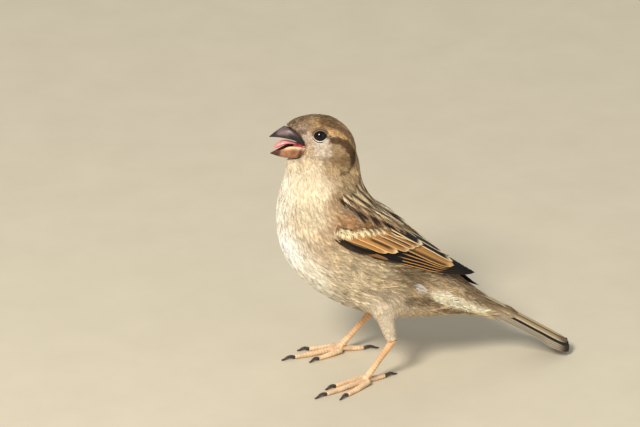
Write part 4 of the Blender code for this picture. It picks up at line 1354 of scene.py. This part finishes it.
def bill_form(sections, hollow):
    """Rings of a bill half in the head frame: an outer vault, then the hollow inner side."""
    over, under = np.linspace(0, math.pi, BILL_VAULT), BILL_SIDES - BILL_VAULT
    across = np.concatenate([np.cos(over), np.linspace(-0.9, 0.9, under)])
    height = np.concatenate([np.sin(over) ** 0.9, hollow * (1 - np.linspace(-1, 1, under) ** 2)])
    rings = []
    for row in smooth_rows([(*ridge, *edge, *rest) for ridge, edge, *rest in sections.values()], BILL_RINGS):
        ridge, edge, half_width, bow = row[0:2], row[2:4], max(row[4], 0.15), row[5]
        along = unit(ridge - edge)
        rise = np.array([-along[1], along[0]]) * bow
        x, z = (edge + np.outer(height, ridge - edge) + np.outer(np.sin(math.pi * height), rise)).T
        rings.append(np.stack([x, across * half_width, z], 1))
    inner = np.arange(BILL_SIDES) >= BILL_VAULT
    return np.array(rings), np.tile(inner, BILL_RINGS), np.tile(height, BILL_RINGS)


def closed_loft(name, rings):
    """A loft with its two ends closed by fans."""
    count, sides = rings.shape[:2]
    points = np.concatenate([rings.reshape(-1, 3), [rings[0].mean(0)], [rings[-1].mean(0)]])
    ring = np.arange(sides)
    after, start, last = (ring + 1) % sides, np.full(sides, count * sides), (count - 1) * sides
    caps = [np.stack([after, ring, start], 1), np.stack([last + ring, last + after, start + 1], 1)]
    return mesh_object(name, from_head(points), np.concatenate([halved(loft_faces(count, sides)), *caps]))


def stroke(colours, places, path, radius, soft, colour, strength):
    """Lays a colour along a path of (forward, up) places of the head."""
    away = path_distance(places * [1, 0, 1], [(x, 0.0, z) for x, z in path])
    return mix(colours, tint(*colour), strength * (1 - smoothstep(radius, radius + soft, away)))


def upper_colours(places, inner, height):
    """Dark horn with a painted pinkish grey highlight on the side and a painted lighter sheen along the
    ridge; black low at the base, along the edge and at the tip.
    """
    horn = np.tile(tint(60, 46, 45), (len(places), 1))
    # Painted highlight: a pinkish grey patch on the side, where the sky is reflected.
    horn = stroke(horn, places, ((10.4, 4.2), (14.6, 3.4)), 0.5, 1.6, (118, 94, 92), 0.9)
    # Painted highlight: lighter along the ridge of the bill.
    horn = mix(horn, tint(112, 88, 80), 0.5 * smoothstep(0.86, 0.98, height))
    horn = stroke(horn, places, ((6.0, -0.9), (8.0, 0.6), (11.0, 1.7)), 0.7, 1.1, (30, 25, 28), 0.95)
    horn = stroke(horn, places, ((11.0, 1.6), (13.6, 1.9), (18.0, 1.7)), 0.3, 0.7, (52, 40, 42), 0.85)
    horn = mix(horn, tint(34, 27, 28), smoothstep(14.8, 17.0, places[:, 0]) * 0.85)
    horn = stroke(horn, places, ((10.4, 6.0), (9.6, 3.6)), 0.1, 0.6, (52, 40, 38), 0.8)
    return mix(horn, tint(164, 62, 70), inner * 0.9)


def lower_colours(places, inner, height):
    """Orange-buff side, pale cutting edge, dark tip and corner."""
    horn = np.tile(tint(170, 118, 84), (len(places), 1))
    rim = (1 - smoothstep(0.08, 0.3, height)) * (1 - smoothstep(12.4, 13.8, places[:, 0]))
    horn = mix(horn, tint(222, 194, 144), 0.95 * rim)
    horn = stroke(horn, places, ((9.2, -3.6), (10.2, -4.3)), 0.3, 1.2, (126, 82, 56), 0.7)
    horn = mix(horn, tint(46, 36, 33), smoothstep(13.8, 15.2, places[:, 0] - 0.6 * height) * 0.92)
    horn = stroke(horn, places, ((6.9, -3.4), (7.7, -5.4), (7.6, -7.2)), 0.3, 0.7, (66, 48, 44), 0.85)
    return mix(horn, tint(140, 34, 46), inner * 0.95)


def bill_half(half, sections, hollow, colouring, slot):
    rings, inner, height = bill_form(sections, hollow)
    made = closed_loft(f"{half}_bill_horn", rings)
    colours = colouring(rings.reshape(-1, 3), inner.astype(float), height)
    paint(made, np.concatenate([colours, colours[:1], colours[-1:]]))
    finished(made, BILL_HORN, slot, f"bill_{half}")


def flesh_piece(name, sections, look, grooved, *nodes):
    """A soft form lofted from (forward, bottom, top, half width) sections."""
    turn = np.linspace(0, 2 * math.pi, FLESH_SIDES, endpoint=False)
    rings = []
    for x, bottom, top, half_width in smooth_rows(list(sections.values()), FLESH_RINGS):
        middle, half = (top + bottom) / 2, (top - bottom) / 2
        groove = grooved * half * np.exp(-((np.cos(turn) / 0.25) ** 2)) * (np.sin(turn) > 0)
        up = middle + np.sin(turn) * half - groove
        rings.append(np.stack([np.full(FLESH_SIDES, x), np.cos(turn) * half_width, up], 1))
    finished(closed_loft(name, np.array(rings)), look, "tongue", *nodes)


def bill_and_mouth():
    bill_half("upper", UPPER_BILL, UPPER_HOLLOW, upper_colours, "bill_horn")
    bill_half("lower", LOWER_BILL, LOWER_HOLLOW, lower_colours, "bill_pale")
    flesh_piece("tongue_flesh", TONGUE, TONGUE_FLESH, TONGUE_GROOVE, "tongue")
    flesh_piece("mouth_lining", LINING, LINING_FLESH, 0.0)


# ---------------------------------------------------------------- eyes
EYE_RINGS, EYE_SIDES, EYE_ARC = 30, 56, 0.62 * math.pi  # the ball is closed as far as the lids hide it
LID_RINGS, LID_SIDES = 48, 80
LID_HEIGHT = 0.12  # how far the lids stand above the ball
LID_FOLDS = (  # distance out from the opening and drop below its edge: inside, rim, groove, fold, skin
    (-0.05, 0.6), (-0.1, 0.25), (0.0, 0.05), (0.14, 0.0), (0.28, 0.06), (0.42, 0.24),
    (0.55, 0.28), (0.7, 0.14), (0.88, 0.2), (1.05, 0.45), (1.3, 0.9), (1.6, 1.4),
)
LID_SHADES = (  # distance out: colour of the lower lid, colour of the upper lid
    (-0.1, (30, 22, 18), (26, 19, 15)),
    (0.02, (150, 130, 110), (70, 55, 41)),
    (0.12, (244, 230, 208), (136, 112, 86)),
    (0.34, (230, 210, 186), (124, 100, 74)),
    (0.42, (26, 19, 15), (84, 65, 46)),
    (0.7, (34, 25, 20), (92, 71, 50)),
    (0.8, (244, 230, 210), (128, 101, 73)),
    (1.15, (232, 216, 194), (130, 102, 72)),
    (1.6, (180, 158, 128), (128, 100, 68)),
)


def eye_frame(side):
    """Eye centre, its outward axis and two directions across it."""
    sign = -SIDES[side]
    axis = EYE_AXIS * [1, sign, 1] @ HEAD_AXES
    up = unit(HEAD_AXES[2] - axis * (HEAD_AXES[2] @ axis))
    return from_head(EYE_PLACE * [1, sign, 1]), axis, np.cross(up, axis) * sign, up


def eyeball(side):
    centre, axis, forward, up = eye_frame(side)
    turn = np.linspace(0, 2 * math.pi, EYE_SIDES, endpoint=False)[:, None]
    rings = []
    for t in np.linspace(0.0, EYE_ARC, EYE_RINGS):
        radius = max(EYE_RADIUS * math.sin(t), 0.02)
        ring = centre + axis * (EYE_RADIUS * math.cos(t)) + np.cos(turn) * forward * radius
        rings.append(ring + np.sin(turn) * up * radius)
    return mesh_object(f"eyeball_{side}", np.concatenate(rings), loft_faces(EYE_RINGS, EYE_SIDES))


def lid_tones(outs, column):
    """Colours at distances out from the opening, after one column of the lids' tones."""
    stops = [row[0] for row in LID_SHADES]
    tones = [tint(*row[column]) for row in LID_SHADES]
    return np.stack([np.interp(outs, stops, channel) for channel in zip(*tones)], 1)


def lid_colours(outs, turn):
    """Colours of the lids at distances out from the opening and turns about the eye's axis."""
    lower, upper = (lid_tones(outs, column) for column in (1, 2))
    share = smoothstep(-0.75, -0.15, np.sin(turn))
    colours = mix(lower[:, None], upper[:, None], share[None])
    corner = smoothstep(0.93, 0.99, np.abs(np.cos(turn))) * (np.cos(turn) > 0)
    near = 1 - smoothstep(0.3, 0.75, outs)
    return mix(colours, tint(46, 34, 26), 0.8 * corner * near[:, None])


def eyelids(side):
    """Lids round an eye: a pale rim, a groove that is dark below, and a second fold."""
    centre, axis, forward, up = eye_frame(side)
    turn = np.linspace(0, 2 * math.pi, LID_SIDES, endpoint=False)
    away = np.cos(turn)[:, None] * forward + np.sin(turn)[:, None] * up
    edge = 1 / np.hypot(np.cos(turn) / OPENING[0], np.sin(turn) / OPENING[1])
    height = np.sqrt(EYE_RADIUS**2 - edge**2) + LID_HEIGHT
    folds = smooth_rows(LID_FOLDS, LID_RINGS)
    rings = [centre + away * (edge + out)[:, None] + axis * (height - drop)[:, None] for out, drop in folds]
    made = mesh_object(f"eyelids_{side}", np.concatenate(rings), loft_faces(LID_RINGS, LID_SIDES))
    paint(made, lid_colours(folds[:, 0], turn).reshape(-1, 3))
    return made


def eyes():
    for side in SIDES:
        finished(eyeball(side), WET_EYE, "eye", f"eye_{side}")
        finished(eyelids(side), LID_SKIN, "plumage")


# ---------------------------------------------------------------- legs, toes and claws
TOES = ("hallux", "inner", "middle", "outer")
SCUTE_PITCH = 1.25
SCUTE_DEPTH = 0.07
SHANK_COLOUR, TOE_COLOUR = (238, 186, 136), (242, 204, 160)


def scute_height(points, names):
    """Depth of the grooves between the plates that ring the tarsus and the toes."""
    nearest, depth = np.full(len(points), 1e9), np.zeros(len(points))
    for name in names:
        own = node_points(name)
        middle = own.mean(0)
        _, axes = np.linalg.eigh(np.cov((own - middle).T))
        along = axes[:, 2]
        reach = (points - middle) @ along
        span = np.abs((own - middle) @ along).max()
        off = np.linalg.norm(points - middle - np.clip(reach, -span, span)[:, None] * along, axis=1)
        closer = off < nearest
        nearest[closer] = off[closer]
        groove = np.abs(np.sin(math.pi * reach / SCUTE_PITCH)) ** 0.5
        depth[closer] = (groove * (not name.startswith("foot")))[closer]
    return depth


def legs_and_claws():
    look = scaly_material()
    for side in SIDES:
        names = [f"tarsus_{side}", *(f"toe_{toe}_{side}" for toe in TOES), f"foot_{side}"]
        points, triangles = fused(names, 0.2, 0.28, 2)
        relief = scute_height(points, names)
        points = points + point_normals(points, triangles) * (SCUTE_DEPTH * (relief - 0.8) - 0.18)[:, None]
        made = mesh_object(f"leg_skin_{side}", points, triangles)
        low = 1 - smoothstep(1.0, 14.0, points[:, 2])
        # Painted shade: the colour darkens by a quarter in the grooves between the plates, and the foot,
        # which has no plates, takes that darkest tone all over.
        paint(made, mix(tint(*SHANK_COLOUR), tint(*TOE_COLOUR), low) * (0.75 + 0.27 * relief)[:, None])
        finished(made, look, "scaled_skin", *names)
    for side, toe in product(SIDES, TOES):
        claw = mesh_object(f"claw_horn_{toe}_{side}", *fused([f"claw_{toe}_{side}"], 0.06, 0.1, 3))
        finished(claw, CLAW_HORN, "claw", f"claw_{toe}_{side}")


# ---------------------------------------------------------------- stage
VIEW_TURN, VIEW_RISE = math.radians(-9.0), math.radians(24.0)
CAMERA_PLACE = Vector((-0.29253, -1.59278, 0.78640))
LENS, FILM = 258.19, 36.0
AIM = Vector((0, 0, 0.06))  # where the lamps point
LAMPS = {  # place, size, power and colour
    "key": ((-0.75, -0.95, 1.15), 0.40, 30.0, (1.0, 0.97, 0.92)),
    "fill": ((0.9, -1.1, 0.5), 1.4, 3.5, (0.94, 0.97, 1.0)),
    "rim": ((0.5, 1.2, 1.1), 1.0, 4.0, (1.0, 0.98, 0.95)),
}
SKY, SKY_STRENGTH = (0.9, 0.94, 1.0, 1.0), 0.42
FLOOR_HALF = 9e3


def placed(name, data, turn, place):
    """An object of the stage, turned by the columns of a matrix."""
    made = bpy.data.objects.new(name, data)
    made.matrix_world = Matrix.Translation(place) @ turn.to_4x4()
    bpy.context.scene.collection.objects.link(made)
    return made


def camera():
    lens = bpy.data.cameras.new("camera")
    lens.lens, lens.sensor_width = LENS, FILM
    right = Vector((math.cos(VIEW_TURN), math.sin(VIEW_TURN), 0))
    level = Vector((math.sin(VIEW_TURN), -math.cos(VIEW_TURN), 0))
    back = level * math.cos(VIEW_RISE) + Vector((0, 0, math.sin(VIEW_RISE)))
    turn = Matrix((right, back.cross(right), back)).transposed()
    bpy.context.scene.camera = placed("camera", lens, turn, CAMERA_PLACE)


def lamp(name, place, size, power, colour):
    data = bpy.data.lights.new(name, "AREA")
    data.size, data.energy, data.color = size, power, colour
    placed(name, data, (AIM - Vector(place)).to_track_quat("-Z", "Y").to_matrix(), Vector(place))


def stage():
    camera()
    for name, values in LAMPS.items():
        lamp(name, *values)
    scene = bpy.context.scene
    scene.world = scene.world or bpy.data.worlds.new("world")
    scene.world.use_nodes = True
    sky = scene.world.node_tree.nodes["Background"]
    sky.inputs["Color"].default_value = SKY
    sky.inputs["Strength"].default_value = SKY_STRENGTH
    scene.view_settings.view_transform = "Standard"
    corners = [(x * FLOOR_HALF, y * FLOOR_HALF, 0) for x, y in ((-1, -1), (1, -1), (1, 1), (-1, 1))]
    floor = mesh_object("floor", corners, [(0, 1, 2, 3)])
    floor.data.materials.append(PALE_FLOOR)


# ---------------------------------------------------------------- the bird
BARE_ARM = 14.0  # how far back from its bend a wing carries small feathers
OFF_BODY = 0.5  # least height over the body's own form at which a place counts as on the wing
BARBS = {  # barbs of each feather in each coat piece
    "arm": 26, "face": 20, "head": 20, "throat": 22, "breast": 26, "belly": 26, "flank": 26, "back": 26,
    "rump": 26,
}


def build_skin():
    """The skin piece, with the shell over the coat that it was drawn in from."""
    shell, triangles = fused([*FLESH, *ARMS], SWELL, 0.8, 4)
    points = shrunk_skin(shell, triangles)
    skin = mesh_object("skin", points, triangles)
    _, dark, colours = plumage(points)
    paint(skin, np.clip(colours * (1 - 0.4 * dark)[:, None], 0, 1))
    unwrap(skin)
    finished(skin, DOWN, "plumage", *FLESH)
    corner_uv = np.empty(len(skin.data.loops) * 2)
    skin.data.uv_layers["OFBake"].data.foreach_get("uv", corner_uv)
    return tree_of(shell, triangles), points, triangles, corner_uv.reshape(-1, 3, 2)


def behind_arms(points, boards, body_tree):
    """True for places on the wings behind the arm, on any face of them."""
    found = np.zeros(len(points), bool)
    for i, place in enumerate(points):
        spot, normal, _, _ = body_tree.find_nearest(Vector(place))
        found[i] = (Vector(place) - spot).dot(normal) > OFF_BODY
    back = np.max([board.read(points)[0] for board, _ in boards], axis=0)
    return found & (back > BARE_ARM)


def coat(points, triangles, corner_uv, boards, saddle, rump, body_tree):
    """Every small feather, one piece for each part of the body."""
    tree = tree_of(points, triangles)
    roots, normals, spots = scattered_roots(points, triangles, corner_uv)
    bare = bare_places(roots, normals) | on_mantle(roots, saddle) | at_tail_root(roots, *rump)
    bare |= behind_arms(roots, boards, body_tree)
    for flight, whole in boards:
        bare |= covered(roots, flight, WING_EDGES) | covered(roots, whole, SHOULDER_EDGES)
    roots, normals, spots = roots[~bare], normals[~bare], spots[~bare]
    groups = np.array(COATS)[station_weights(roots)[0].argmax(1)]
    for group, barbs in BARBS.items():
        own = groups == group
        loose_feathers(f"coat_{group}", tree, roots[own], normals[own], spots[own], barbs)


def main():
    stage()
    shell_tree, *skin = build_skin()
    boards = [wing_feathers(side, shell_tree) for side in SIDES]
    body_tree = tree_of(*fused(("head", "neck", "trunk", "rump"), SWELL, 0.8, 4))
    saddle = mantle_board(body_tree)
    mantle_feathers(saddle)
    tail_feathers()
    rump = rump_feathers()
    coat(*skin, boards, saddle, rump, body_tree)
    bill_and_mouth()
    eyes()
    legs_and_claws()


main()
